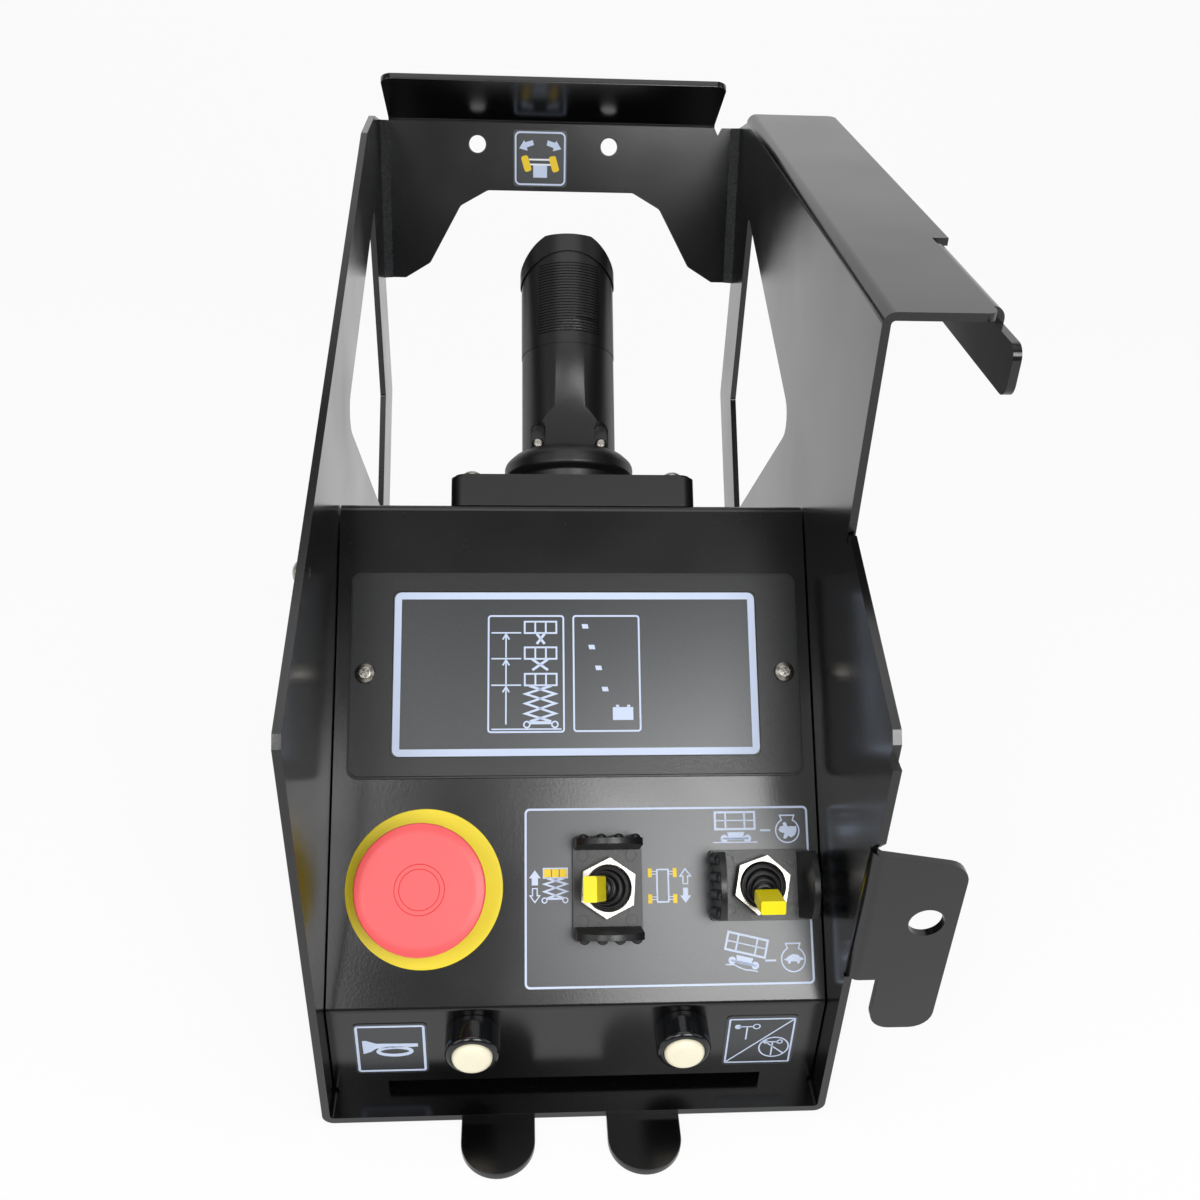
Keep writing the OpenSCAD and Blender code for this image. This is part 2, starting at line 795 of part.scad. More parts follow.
module cable_gland() {
    color("#1b1c1e") on_guard() translate([gland_x, box_rear_y + cover_t, gland_h]) rotate([-90, 0, 0])
        difference() {
            union() {
                cylinder(h = gland_l / 2, r = gland_r + gland_r / 4, $fn = 6);
                rotate_extrude() polygon(rounded([
                    [0, 0, 0], [gland_r, 0, 0], [gland_r, gland_l, gland_r / 4], [0, gland_l, 0]
                ]));
                hole(gland_hole_r, 0, cover_t + shell_t);
            }
            hole(gland_r / 2, gland_l + overrun, cover_t);
        }
}

module control_module() {
    color("#2b2d30") on_guard() translate([-module_w / 2, module_y, sheet_t]) {
        cube([module_w, module_l, module_h / 4]);
        translate([module_h / 4, 0, 0]) cube([module_w - module_h / 2, module_l, module_h]);
    }
}

// Display

module bezel_outline(inset) polygon(round_box(bezel_w - 2 * inset, bezel_h - 2 * inset, bezel_r));

module display_bezel() {
    color("#17181a") on_panel() translate([bezel_x, bezel_v, 0]) difference() {
        union() {
            linear_extrude(bezel_t / 2) bezel_outline(0);
            linear_extrude(bezel_t) bezel_outline(bezel_step);
            translate([0, 0, -tub_l]) linear_extrude(tub_l + bezel_t / 2)
                polygon(round_box(tub_w, tub_h, screen_r));
        }
        translate([0, 0, bezel_t - screen_sink]) linear_extrude(screen_sink + overrun)
            polygon(round_box(screen_w + 2 * screw_play, screen_h + 2 * screw_play, screen_r));
        for (side = [-1, 1]) translate([side * bezel_screw_x, 0, 0])
            hole(screw_shank_r + screw_play, bezel_t + overrun, overrun);
    }
}

module display_label() {
    color("#202326") on_panel() translate([bezel_x, bezel_v, bezel_t - screen_sink])
        linear_extrude(film_t) polygon(round_box(screen_w, screen_h, screen_r));
}

module display_board() {
    color("#1e5631") on_panel() translate([bezel_x, bezel_v, -tub_l - board_t])
        linear_extrude(board_t) polygon(round_box(tub_w - board_margin, tub_h - board_margin, screen_r));
}

module bezel_screws() {
    color("silver") on_panel() for (side = [-1, 1])
        translate([bezel_x + side * bezel_screw_x, bezel_v, bezel_t])
            pan_screw(length = bezel_t + shell_t);
}

// Labels

module label(w, h) linear_extrude(film_t) polygon(round_box(w, h, label_r));

module control_label() {
    color("#26292c") on_panel() difference() {
        translate([(control_left + control_right) / 2, (control_low + control_high) / 2, 0])
            label(control_right - control_left, control_high - control_low);
        for (place = [[lift_x, lift_v], [speed_x, speed_v]]) translate([place.x, place.y, 0])
            hole(bushing_r + screw_play, overrun, overrun);
    }
}

module small_label(x) {
    on_front() translate([x, small_label_low + small_label_h / 2, 0]) label(small_label_w, small_label_h);
}
module horn_label() color("#26292c") small_label(-small_label_x);
module function_label() color("#26292c") small_label(small_label_x);
module steering_label() {
    color("#1a1c1e") on_bar() translate([steering_label_x, steering_label_low + steering_label_w / 2, 0])
        label(steering_label_w, steering_label_w);
}

// Emergency stop

module on_estop() on_panel() translate([estop_x, estop_v, 0]) children();

module estop_disc() {
    color("#f0d800") on_estop() difference() {
        cylinder(h = disc_t, r = estop_disc_d / 2);
        hole(estop_hole_d / 2, disc_t + overrun, overrun);
    }
}

module estop_collar() {
    color("#1b1c1e") on_estop() difference() {
        union() {
            translate([0, 0, disc_t]) cylinder(h = collar_top - disc_t, r = collar_r);
            hole(estop_hole_d / 2 - screw_play, disc_t, collar_foot);
        }
        hole(plunger_r + running_fit, collar_top + overrun, collar_foot + overrun);
    }
}

module estop_nut() {
    color("#2a2b2d") on_estop() translate([0, 0, -shell_t - estop_nut_t]) difference() {
        cylinder(h = estop_nut_t, r = estop_nut_r, $fn = 12);
        hole(estop_hole_d / 2, estop_nut_t + overrun, overrun);
    }
}

module estop_plunger() {
    color("#d9d9d4") on_estop() hole(plunger_r, head_bore_top - soft_gap, plunger_foot);
}

module estop_mushroom() {
    head_r = mushroom_d / 2;
    edge_h = mushroom_top - head_edge_drop;
    color("#ff4f4a") on_estop() rotate_extrude() polygon(rounded([
        [plunger_r + running_fit, head_foot + 1 / 4 * head_edge_r, 0],
        [head_hub_r, head_foot + 1 / 4 * head_edge_r, 0],
        [head_hub_r, head_roof, 0],
        [head_foot_r - head_edge_r / 2, head_roof, 0],
        [head_foot_r - head_edge_r / 2, head_foot, 0],
        [head_foot_r, head_foot, 0],
        [head_r, head_shoulder_h, head_edge_r],
        [head_r, edge_h, head_edge_r],
        [head_r - head_edge_drop, mushroom_top - head_edge_drop / 6, head_edge_r * 2],
        [0, mushroom_top, 0],
        [0, head_bore_top, 0],
        [plunger_r + running_fit, head_bore_top, 0]
    ]));
}

module estop_contact_block() {
    color("#d8cfb0") on_estop() translate([0, 0, -collar_foot - block_l]) difference() {
        translate([-block_side / 2, -block_side / 2, 0]) cube([block_side, block_side, block_l]);
        translate([0, 0, block_l]) hole(block_pocket_r, overrun, block_pocket);
    }
}

// Toggle switches, drawn with the throw along x and the guard's walls at both ends of y

module on_lift() on_panel() translate([lift_x, lift_v, film_t]) children();
module on_speed() on_panel() translate([speed_x, speed_v, film_t]) rotate([0, 0, 90]) children();
module on_lever() translate([0, 0, toggle_pivot_h]) rotate([0, -toggle_throw, 0]) children();

module guard_wall() {
    wall_top = guard_base_t + guard_wall_h;
    wall_foot_y = guard_wall_out - guard_wall_foot_t;
    wall_top_y = guard_wall_out - guard_wall_top_t;
    intersection() {
        translate([-guard_wall_w / 2, 0, 0]) rotate([90, 0, 90]) linear_extrude(guard_wall_w) polygon([
            [wall_foot_y, guard_base_t], [wall_top_y, wall_top], [guard_wall_out, wall_top],
            [guard_wall_out, guard_base_t]
        ]);
        translate([0, 0, wall_top - guard_crown_r]) rotate([-90, 0, 0])
            cylinder(h = guard_wall_out + overrun, r = guard_crown_r);
    }
    for (i = [-1.5 : 1 : 1.5]) {
        rib_h = guard_base_t + (abs(i) < 1 ? guard_inner_rib_h : guard_outer_rib_h);
        translate([i * guard_rib_pitch, guard_wall_out - guard_wall_top_t / 4, 0]) {
            translate([0, 0, guard_base_t])
                cylinder(h = rib_h - guard_rib_r - guard_base_t, r = guard_rib_r, $fn = 24);
            translate([0, 0, rib_h - guard_rib_r]) sphere(r = guard_rib_r, $fn = 24);
        }
    }
}

module toggle_guard() {
    plate_l = guard_l + guard_rib_r;
    difference() {
        union() {
            linear_extrude(guard_base_t) polygon(round_box(guard_w, plate_l, guard_r));
            for (side = [0, 1]) mirror([0, side, 0]) guard_wall();
        }
        hole(bushing_r + screw_play, guard_base_t + overrun, overrun);
    }
}

module toggle_body() {
    body_top = -film_t - shell_t;
    difference() {
        union() {
            translate([-toggle_body_w / 2, -toggle_body_l / 2, body_top - toggle_body_h])
                cube([toggle_body_w, toggle_body_l, toggle_body_h]);
            translate([0, 0, body_top]) cylinder(h = bushing_top - body_top, r = bushing_r);
        }
        translate([0, 0, toggle_pivot_h]) {
            hole(bushing_bore_r, bushing_top, toggle_well);
            rotate([90, 0, 0]) hole(lever_pin_r + running_fit, bushing_r + overrun, bushing_r + overrun);
        }
    }
}

module toggle_nut(turn) {
    translate([0, 0, guard_base_t]) rotate([0, 0, 90 + turn]) difference() {
        cylinder(h = toggle_nut_t, r = toggle_nut_af / 2 / cos(30), $fn = 6);
        hole(bushing_r + running_fit, toggle_nut_t + overrun, overrun);
        translate([0, 0, nut_floor_t]) hole(nut_rim_r, toggle_nut_t, 0);
    }
}

module toggle_boot() {
    seat = guard_base_t + nut_floor_t;
    rim_r = nut_rim_r - screw_play / 2;
    rim_top = guard_base_t + toggle_nut_t + boot_rib_r;
    rib_rs = [rim_r - boot_rib_r, (rim_r + boot_neck_r) / 2, boot_neck_r + boot_rib_r];
    difference() {
        union() {
            translate([0, 0, seat]) cylinder(h = rim_top - seat, r = rim_r);
            for (i = [0 : len(rib_rs) - 1])
                translate([0, 0, toggle_pivot_h]) rotate([0, -toggle_throw * (i + 1) / len(rib_rs), 0])
                    translate([0, 0, rim_top - toggle_pivot_h - boot_rib_r / 2 + i * 2 * boot_rib_r])
                        rotate_extrude() polygon(rounded([
                            [0, 0, 0], [rib_rs[i], 0, boot_rib_r], [rib_rs[i], 2 * boot_rib_r, boot_rib_r],
                            [0, 2 * boot_rib_r, 0]
                        ]));
        }
        hole(bushing_r + soft_gap, bushing_top + soft_gap, 0);
        on_lever() hole(lever_r + soft_gap, lever_l, 0);
    }
}

module toggle_lever() {
    on_lever() {
        sphere(r = bushing_bore_r - running_fit);
        rotate([90, 0, 0]) hole(lever_pin_r, lever_pin_half, lever_pin_half);
        hole(tail_r, 0, tail_l);
        hole(lever_r, lever_l - cap_l / 3, 0);
    }
}

module toggle_cap() {
    on_lever() translate([0, 0, lever_l - cap_l]) difference() {
        linear_extrude(cap_l) polygon(round_box(cap_t, cap_w, cap_corner_r));
        hole(lever_r + running_fit, cap_l * 2 / 3, overrun);
    }
}

module lift_toggle_guard() color("#141517") on_lift() toggle_guard();
module lift_toggle_body() color("#3a3c3f") on_lift() toggle_body();
module lift_toggle_nut() color("silver") on_lift() toggle_nut(lift_nut_turn);
module lift_toggle_boot() color("#0c0c0d") on_lift() toggle_boot();
module lift_toggle_lever() color("silver") on_lift() toggle_lever();
module lift_toggle_cap() color("#f6e500") on_lift() toggle_cap();
module speed_toggle_guard() color("#141517") on_speed() toggle_guard();
module speed_toggle_body() color("#3a3c3f") on_speed() toggle_body();
module speed_toggle_nut() color("silver") on_speed() toggle_nut(speed_nut_turn);
module speed_toggle_boot() color("#0c0c0d") on_speed() toggle_boot();
module speed_toggle_lever() color("silver") on_speed() toggle_lever();
module speed_toggle_cap() color("#f6e500") on_speed() toggle_cap();

// Push-buttons

module on_button(side) on_front() translate([side * button_pitch / 2, button_h, 0]) children();

module button_bezels() {
    well_r = button_cap_d / 2 + soft_gap;
    color("#121314") for (side = [-1, 1]) on_button(side) rotate_extrude() polygon(rounded([
        [button_stem_r + running_fit, -button_barrel_tail, 0],
        [button_hole_r - screw_play, -button_barrel_tail, 0],
        [button_hole_r - screw_play, 0, 0],
        [barrel_d / 2, 0, 0],
        [barrel_d / 2, barrel_l, barrel_edge_r],
        [well_r, barrel_l, 0],
        [well_r, barrel_l - barrel_well, 0],
        [button_stem_r + running_fit, barrel_l - barrel_well, 0]
    ]));
}

module button_nuts() {
    color("#2a2b2d") for (side = [-1, 1]) on_button(side) translate([0, 0, -shell_t - button_nut_t])
        difference() {
            cylinder(h = button_nut_t, r = button_nut_r, $fn = 6);
            hole(button_hole_r, button_nut_t + overrun, overrun);
        }
}

module button_bodies() {
    half = button_block_side / 2;
    stem_room = button_travel + 2 * soft_gap + button_stem_tail - button_barrel_tail;
    color("#3a3c3f") for (side = [-1, 1]) on_button(side)
        translate([0, 0, -button_barrel_tail - button_block_l]) difference() {
            translate([-half, -half, 0]) cube([button_block_side, button_block_side, button_block_l]);
            translate([0, 0, button_block_l]) hole(button_stem_r + soft_gap, overrun, stem_room);
        }
}

module button_cap() {
    rotate_extrude() polygon(rounded([
        [0, -button_stem_tail, 0],
        [button_stem_r, -button_stem_tail, 0],
        [button_stem_r, cap_front - button_travel * 2, 0],
        [button_cap_d / 2, cap_front - button_travel * 2, 0],
        [button_cap_d / 2, cap_front, cap_edge_r],
        [0, cap_front, 0]
    ]));
}
module horn_button_cap() color("#f5efcf") on_button(-1) button_cap();
module function_button_cap() color("#f5efcf") on_button(1) button_cap();

// Joystick

module base_screw_holes(r, top, foot) {
    for (x = [-base_screw_x, base_screw_x]) for (side = [-1, 1])
        on_stick() translate([x, side * (stick_base_l / 2 - base_screw_in), 0]) hole(r, top, foot);
}

module joystick_base() {
    color("#141416") difference() {
        on_stick() {
            linear_extrude(stick_base_h - base_step)
                polygon(round_box(stick_base_w, stick_base_l, stick_base_r));
            linear_extrude(stick_base_h)
                polygon(round_box(stick_base_w - 2 * base_step, stick_base_l - 2 * base_step,
                    stick_base_r));
        }
        on_stick() hole(base_hole_r, stick_base_h + overrun, overrun);
        base_screw_holes(screw_shank_r + screw_play, stick_base_h + overrun, overrun);
    }
}

module joystick_base_screws() {
    color("#8c8f93") for (x = [-base_screw_x, base_screw_x]) for (side = [-1, 1])
        on_stick() translate([x, side * (stick_base_l / 2 - base_screw_in), stick_base_h])
            pan_screw(length = stick_base_h + shell_t);
}

module joystick_body() {
    color("#3a3c3f") on_stick() difference() {
        union() {
            difference() {
                translate([-well_half, -well_half, -well_depth])
                    cube([2 * well_half, 2 * well_half, well_depth]);
                hole(well_r, overrun, well_floor);
            }
            for (side = [0, 1]) mirror([side, 0, 0])
                translate([cheek_in, -cheek_half, -well_floor - overrun])
                    cube([cheek_t, 2 * cheek_half, well_floor + overrun + cheek_top]);
        }
        translate([-well_half, 0, pivot_h]) rotate([0, 90, 0])
            cylinder(h = 2 * well_half, r = pin_r + running_fit);
    }
}

module joystick_pin() {
    color("silver") on_stick() translate([-pin_half, 0, pivot_h]) rotate([0, 90, 0])
        cylinder(h = 2 * pin_half, r = pin_r);
}

module joystick_shaft() {
    hub_half = cheek_in - soft_gap;
    color("silver") on_stick() difference() {
        union() {
            translate([-hub_half, 0, pivot_h]) rotate([0, 90, 0]) cylinder(h = 2 * hub_half, r = hub_r);
            translate([0, 0, pivot_h]) cylinder(h = shaft_top - pivot_h, r = shaft_r);
        }
        translate([-well_half, 0, pivot_h]) rotate([0, 90, 0])
            cylinder(h = 2 * well_half, r = pin_r + running_fit);
    }
}

module joystick_boot() {
    boot_top_h = grip_foot - soft_gap;
    inner_r = boot_collar_r - boot_wall;
    color("#0f0f10") on_stick() rotate_extrude() polygon(rounded([
        [inner_r, stick_base_h, 0],
        [boot_foot_r, stick_base_h, 0],
        [boot_foot_r, stick_base_h + boot_foot_t, 1 / 2 * boot_foot_t],
        [boot_collar_r, stick_base_h + boot_foot_t, 1 / 2 * boot_foot_t],
        [boot_collar_r, boot_collar_top, 1 / 2 * boot_foot_t],
        [boot_ring_r, boot_collar_top, boot_wall],
        [boot_ring_r, boot_top_h, 2 * boot_wall],
        [boot_hole_r, boot_top_h, 0],
        [boot_hole_r, boot_top_h - boot_wall, 0],
        [inner_r, boot_top_h - boot_wall, 0]
    ]));
}

module grip_lower() {
    r = grip_d / 2;
    color("#161617") on_stick() difference() {
        translate([0, 0, grip_foot]) cylinder(h = sleeve_foot - grip_foot, r = r);
        hole(shaft_r + running_fit, shaft_top + soft_gap, 0);
        translate([-r, 0, 0]) rotate([90, 0, 90]) linear_extrude(2 * r) polygon([
            [-flat_foot_depth, grip_foot], [-r, flat_top], [-r - overrun, flat_top],
            [-r - overrun, grip_foot - overrun], [-flat_foot_depth, grip_foot - overrun]
        ]);
        for (side = [-1, 1]) translate([side * slot_x, -slot_floor, 0]) rotate([90, 0, 0]) {
            translate([0, slot_low, 0]) cylinder(h = r, r = slot_r);
            translate([0, slot_high, 0]) cylinder(h = r, r = slot_r);
            translate([-slot_r, slot_low, 0]) cube([2 * slot_r, slot_high - slot_low, r]);
            translate([0, slot_low, 0]) hole(grip_clamp_r + running_fit, overrun, slot_floor / 2);
        }
    }
}

module grip_screws() {
    color("silver") on_stick() for (side = [-1, 1])
        translate([side * slot_x, -slot_floor, slot_low]) rotate([90, 0, 0])
            pan_screw(grip_screw_r, grip_screw_h, grip_clamp_r, slot_floor / 2);
}

// The front sector of the sleeve, in which the ribs lie
module rib_sector() {
    reach = grip_d;
    translate([0, 0, rib_foot]) linear_extrude(rib_top - rib_foot) polygon([
        [0, 0], [-reach * tan(rib_half_angle), -reach], [reach * tan(rib_half_angle), -reach]
    ]);
}

module cap_dome() {
    translate([0, -grip_d, cap_foot - cap_dome_r]) rotate([-90, 0, 0])
        cylinder(h = 2 * grip_d, r = cap_dome_r, $fn = 128);
}

module sleeve_blank() {
    r = grip_d / 2 + sleeve_proud;
    pitch = (rib_top - rib_foot) / rib_count;
    difference() {
        translate([0, 0, sleeve_foot]) cylinder(h = cap_foot - sleeve_foot, r = r);
        intersection() {
            rib_sector();
            for (i = [0 : rib_count - 1]) translate([0, 0, rib_foot + (i + 1 / 2) * pitch])
                rotate_extrude() translate([r - rib_depth, -pitch * rib_root_share / 2])
                    square([2 * rib_depth, pitch * rib_root_share]);
        }
    }
}

module grip_sleeve() {
    color("#131314") on_stick() difference() {
        intersection() {
            sleeve_blank();
            cap_dome();
        }
        translate([-trigger_w / 2 - trigger_play, trigger_well, trigger_low - 2 * trigger_play])
            cube([trigger_w + 2 * trigger_play, grip_d, trigger_pivot_h + trigger_well / 2 - trigger_low]);
        translate([-trigger_w, trigger_pivot_b, trigger_pivot_h]) rotate([0, 90, 0])
            cylinder(h = 2 * trigger_w, r = small_pin_r + running_fit);
    }
}

module grip_cap() {
    r = grip_d / 2 + cap_proud;
    foot = cap_foot - grip_d / 2;
    color("#101011") on_stick() difference() {
        intersection() {
            translate([0, 0, foot]) cylinder(h = grip_top - foot, r = r);
            translate([0, r, 0]) rotate([90, 0, 0]) linear_extrude(2 * r) polygon(rounded([
                [-r, foot, 0], [r, foot, 0], [r, grip_top - cap_shoulder_drop, 2 * cap_proud],
                [cap_flat_w / 2, grip_top, 2 * cap_proud], [-cap_flat_w / 2, grip_top, 2 * cap_proud],
                [-r, grip_top - cap_shoulder_drop, 2 * cap_proud]
            ]));
        }
        cap_dome();
        translate([0, -rocker_l / 2 - soft_gap, rocker_pivot]) rotate([-90, 0, 0])
            cylinder(h = rocker_l + 2 * soft_gap, r = rocker_r + soft_gap);
        translate([-rocker_r - soft_gap, -rocker_l / 2 - soft_gap, rocker_pivot])
            cube([2 * (rocker_r + soft_gap), rocker_l + 2 * soft_gap, rocker_r + overrun]);
        translate([0, -rocker_l / 2 - small_pin_r * 2, rocker_pivot]) rotate([-90, 0, 0])
            cylinder(h = rocker_l + small_pin_r * 4, r = small_pin_r + running_fit);
    }
}

module grip_pins() {
    color("silver") on_stick() {
        translate([0, -rocker_l / 2 - small_pin_r * 2, rocker_pivot]) rotate([-90, 0, 0])
            cylinder(h = rocker_l + small_pin_r * 4, r = small_pin_r);
        translate([-trigger_w, trigger_pivot_b, trigger_pivot_h]) rotate([0, 90, 0])
            cylinder(h = 2 * trigger_w, r = small_pin_r);
    }
}

module steer_rocker() {
    color("#26272a") on_stick() translate([0, 0, rocker_pivot]) difference() {
        translate([0, -rocker_l / 2, 0]) rotate([-90, 0, 0]) cylinder(h = rocker_l, r = rocker_r);
        for (side = [-1, 1]) rotate([0, side * rocker_face_tilt, 0])
            translate([-rocker_r, -rocker_l, rocker_r - small_pin_r])
                cube([2 * rocker_r, 2 * rocker_l, rocker_r]);
        translate([-rocker_r, -rocker_l, -rocker_r - overrun])
            cube([2 * rocker_r, 2 * rocker_l, rocker_r + overrun - rocker_floor]);
        translate([0, -rocker_l, 0]) rotate([-90, 0, 0])
            cylinder(h = 2 * rocker_l, r = small_pin_r + running_fit);
    }
}

module enable_trigger() {
    head = 2 * small_pin_r;
    color("#26272a") on_stick() translate([-trigger_w / 2, 0, 0]) difference() {
        rotate([90, 0, 90]) linear_extrude(trigger_w) polygon(rounded([
            [trigger_pivot_b - head, trigger_pivot_h + head, head / 2],
            [trigger_pivot_b + head, trigger_pivot_h + head, head / 2],
            [trigger_out - head, (trigger_pivot_h + trigger_low) / 2 + head, 2 * head],
            [trigger_out, trigger_low, head / 2],
            [trigger_out - 2 * head, trigger_low, head / 2],
            [trigger_pivot_b - head, trigger_pivot_h - 2 * head, head]
        ]));
        translate([-overrun, trigger_pivot_b, trigger_pivot_h]) rotate([0, 90, 0])
            cylinder(h = trigger_w + 2 * overrun, r = small_pin_r + running_fit);
    }
}

mounting_bracket();
bottom_plate();
left_side_plate();
right_side_plate();
rail_hook();
lock_tab();
rear_crossbar();
weld_beads();
side_screw();
enclosure_screws();
enclosure_shell();
rear_cover();
cover_screws();
cable_gland();
control_module();
display_bezel();
display_label();
display_board();
bezel_screws();
control_label();
horn_label();
function_label();
steering_label();
estop_disc();
estop_collar();
estop_nut();
estop_plunger();
estop_mushroom();
estop_contact_block();
lift_toggle_guard();
lift_toggle_body();
lift_toggle_nut();
lift_toggle_boot();
lift_toggle_lever();
lift_toggle_cap();
speed_toggle_guard();
speed_toggle_body();
speed_toggle_nut();
speed_toggle_boot();
speed_toggle_lever();
speed_toggle_cap();
button_bezels();
button_nuts();
button_bodies();
horn_button_cap();
function_button_cap();
joystick_base();
joystick_base_screws();
joystick_body();
joystick_pin();
joystick_shaft();
joystick_boot();
grip_lower();
grip_sleeve();
grip_cap();
grip_screws();
grip_pins();
steer_rocker();
enable_trigger();
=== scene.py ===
"""The looks of a scissor lift's platform control box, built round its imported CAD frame."""

import json
import math
import random

import bmesh
import bpy
from bpy.props import FloatProperty, FloatVectorProperty, IntProperty, PointerProperty
from mathutils import Matrix, Vector, noise


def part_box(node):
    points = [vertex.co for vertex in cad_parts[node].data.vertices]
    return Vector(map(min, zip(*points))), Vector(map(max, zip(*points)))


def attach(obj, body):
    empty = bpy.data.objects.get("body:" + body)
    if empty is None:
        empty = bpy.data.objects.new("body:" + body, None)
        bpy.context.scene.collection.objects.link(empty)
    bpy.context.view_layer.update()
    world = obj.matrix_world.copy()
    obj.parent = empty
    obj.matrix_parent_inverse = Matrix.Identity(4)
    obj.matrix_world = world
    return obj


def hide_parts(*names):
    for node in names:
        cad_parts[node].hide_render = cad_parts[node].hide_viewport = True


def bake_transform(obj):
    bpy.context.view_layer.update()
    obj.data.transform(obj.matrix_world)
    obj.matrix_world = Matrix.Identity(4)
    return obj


bl_info = {
    "name": "Scissor Lift Control Box",
    "version": (1, 0, 0),
    "blender": (4, 5, 0),
    "location": "3D View > Sidebar > Control Box",
    "description": "Gives the control box's CAD frame its coats, mouldings, labels and screws",
    "category": "Object",
}

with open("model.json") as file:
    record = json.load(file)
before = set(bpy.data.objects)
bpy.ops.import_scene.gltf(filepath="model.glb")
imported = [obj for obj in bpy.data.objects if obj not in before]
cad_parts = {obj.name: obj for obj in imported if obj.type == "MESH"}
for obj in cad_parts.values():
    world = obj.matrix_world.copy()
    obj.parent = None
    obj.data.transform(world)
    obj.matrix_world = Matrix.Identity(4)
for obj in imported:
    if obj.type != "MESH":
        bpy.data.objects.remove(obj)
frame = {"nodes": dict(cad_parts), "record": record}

# Real sizes below are in millimetres, and MM turns them to the scene's metres
MM = 0.001
MERGE = 0.001 * MM
FLAT = math.radians(0.6)

# The sheet, the panel, the crossbar, the joystick's place and the side plates' outer faces
SHEET_T = 3
PANEL_TILT = math.radians(45)
PANEL_FOOT = 52.6
PANEL_L = 197.2
BAR_FOOT = (362.5, 210.5)
BAR_LEAN = math.radians(14.4)
STICK_ALONG_DECK = 48
SIDE_PLATE_X = 98

# M4 pan-head screws: radius and height of the head, radius of the shank
HEAD_R, HEAD_H, SHANK_R = 4, 2.6, 2

# Both toggle switches: place and turn on the panel, and the body of the lever
TOGGLES = {
    "lift": ((11.4, 43.7), 0, "lift_lever"),
    "speed": ((70.7, 44.0), math.radians(90), "speed_lever"),
}
TOGGLE_THROW = math.radians(18)
TOGGLE_PIVOT_H = 2

# Softboxes of the studio: where each hangs, its width and its height, in metres
SOFTBOXES = {
    "overhead": ((0, 0.1, 1.5), 1.2, 1),
    "front_left": ((-0.44, -0.82, 0.95), 0.36, 0.6),
    "front_right": ((0.34, -0.85, 0.95), 0.56, 0.5),
    "left": ((-1.3, -0.5, 0.8), 0.9, 0.9),
    "right": ((1.3, -0.3, 0.9), 0.9, 0.9),
}
LIT_MIDDLE = (0, 0.1, 0.15)

# The photograph's camera, solved from the box's straight edges: pitch, yaw and roll in degrees
CAMERA_TURNS = (32.995, 4.434, 2.417)
CAMERA_AT = (-22.65, -312.64, 439.68)
CAMERA_LENS, CAMERA_SENSOR = 37.605, 36


def face(y, z, tilt):
    """A face that rises by tilt away from the operator: X right, Y up along it, Z out of it."""
    return Matrix.Translation((0, y * MM, z * MM)) @ Matrix.Rotation(tilt, 4, "X")


RIDGE = (PANEL_L * math.cos(PANEL_TILT), PANEL_FOOT + PANEL_L * math.sin(PANEL_TILT))
LOWER_FACE = face(0, SHEET_T, math.radians(90))
PANEL = face(0, PANEL_FOOT, PANEL_TILT)
DECK = face(*RIDGE, PANEL_TILT - math.radians(90))
BAR = face(*BAR_FOOT, math.radians(90) - BAR_LEAN)
STICK = DECK @ Matrix.Translation((0, STICK_ALONG_DECK * MM, 0))


def linear(code):
    """A colour written as sRGB hex, as the linear values that shaders take."""
    channels = [int(code[i : i + 2], 16) / 255 for i in (1, 3, 5)]
    return [c / 12.92 if c <= 0.04045 else ((c + 0.055) / 1.055) ** 2.4 for c in channels]


def colour_of(name, description, code):
    return FloatVectorProperty(
        name=name, description=description, subtype="COLOR", size=3, min=0, max=1,
        default=linear(code),
    )


def length_of(name, description, length):
    return FloatProperty(name=name, description=description, unit="LENGTH", default=length * MM)


def power_of(name, watts):
    about = f"Power of the {name.lower()} softbox in watts"
    return FloatProperty(name=name, description=about, default=watts)


class ControlBoxColours(bpy.types.PropertyGroup):
    coat: colour_of("Powder coat", "Black powder coat on the guard and the enclosure", "#060607")
    textured: colour_of("Black ABS", "Bezel, toggle guards and glossy mouldings", "#101113")
    grip: colour_of("Joystick", "Grip, base and boot", "#0d0d0e")
    film: colour_of("Label film", "Dark film of the printed labels", "#26292d")
    pale_ink: colour_of("Pale ink", "Borders and symbols on the labels", "#cbd8f0")
    white_ink: colour_of("White ink", "Chassis on the steering label", "#f0f3f8")
    yellow_ink: colour_of("Yellow ink", "Platforms and wheels on the labels", "#f5cf00")
    # Partly painted sheen: the head's red is lightened towards pink, standing in for the softboxes'
    # sheen on its flat top
    stop_red: colour_of("Mushroom head", "Red of the emergency stop", "#f45a5c")
    stop_yellow: colour_of("Stop disc", "Yellow disc under the mushroom head", "#f6e200")
    lever_yellow: colour_of("Lever caps", "Yellow caps of the toggle levers", "#f8e400")
    cream: colour_of("Button caps", "Cream caps of the push-buttons", "#f4edd2")
    module: colour_of("Control module", "Grey module behind the panel", "#4a4c50")
    ivory: colour_of("Contact blocks", "Blocks behind the switches", "#c9bf9c")
    board: colour_of("Circuit board", "Solder mask of the display's board", "#1c6a38")


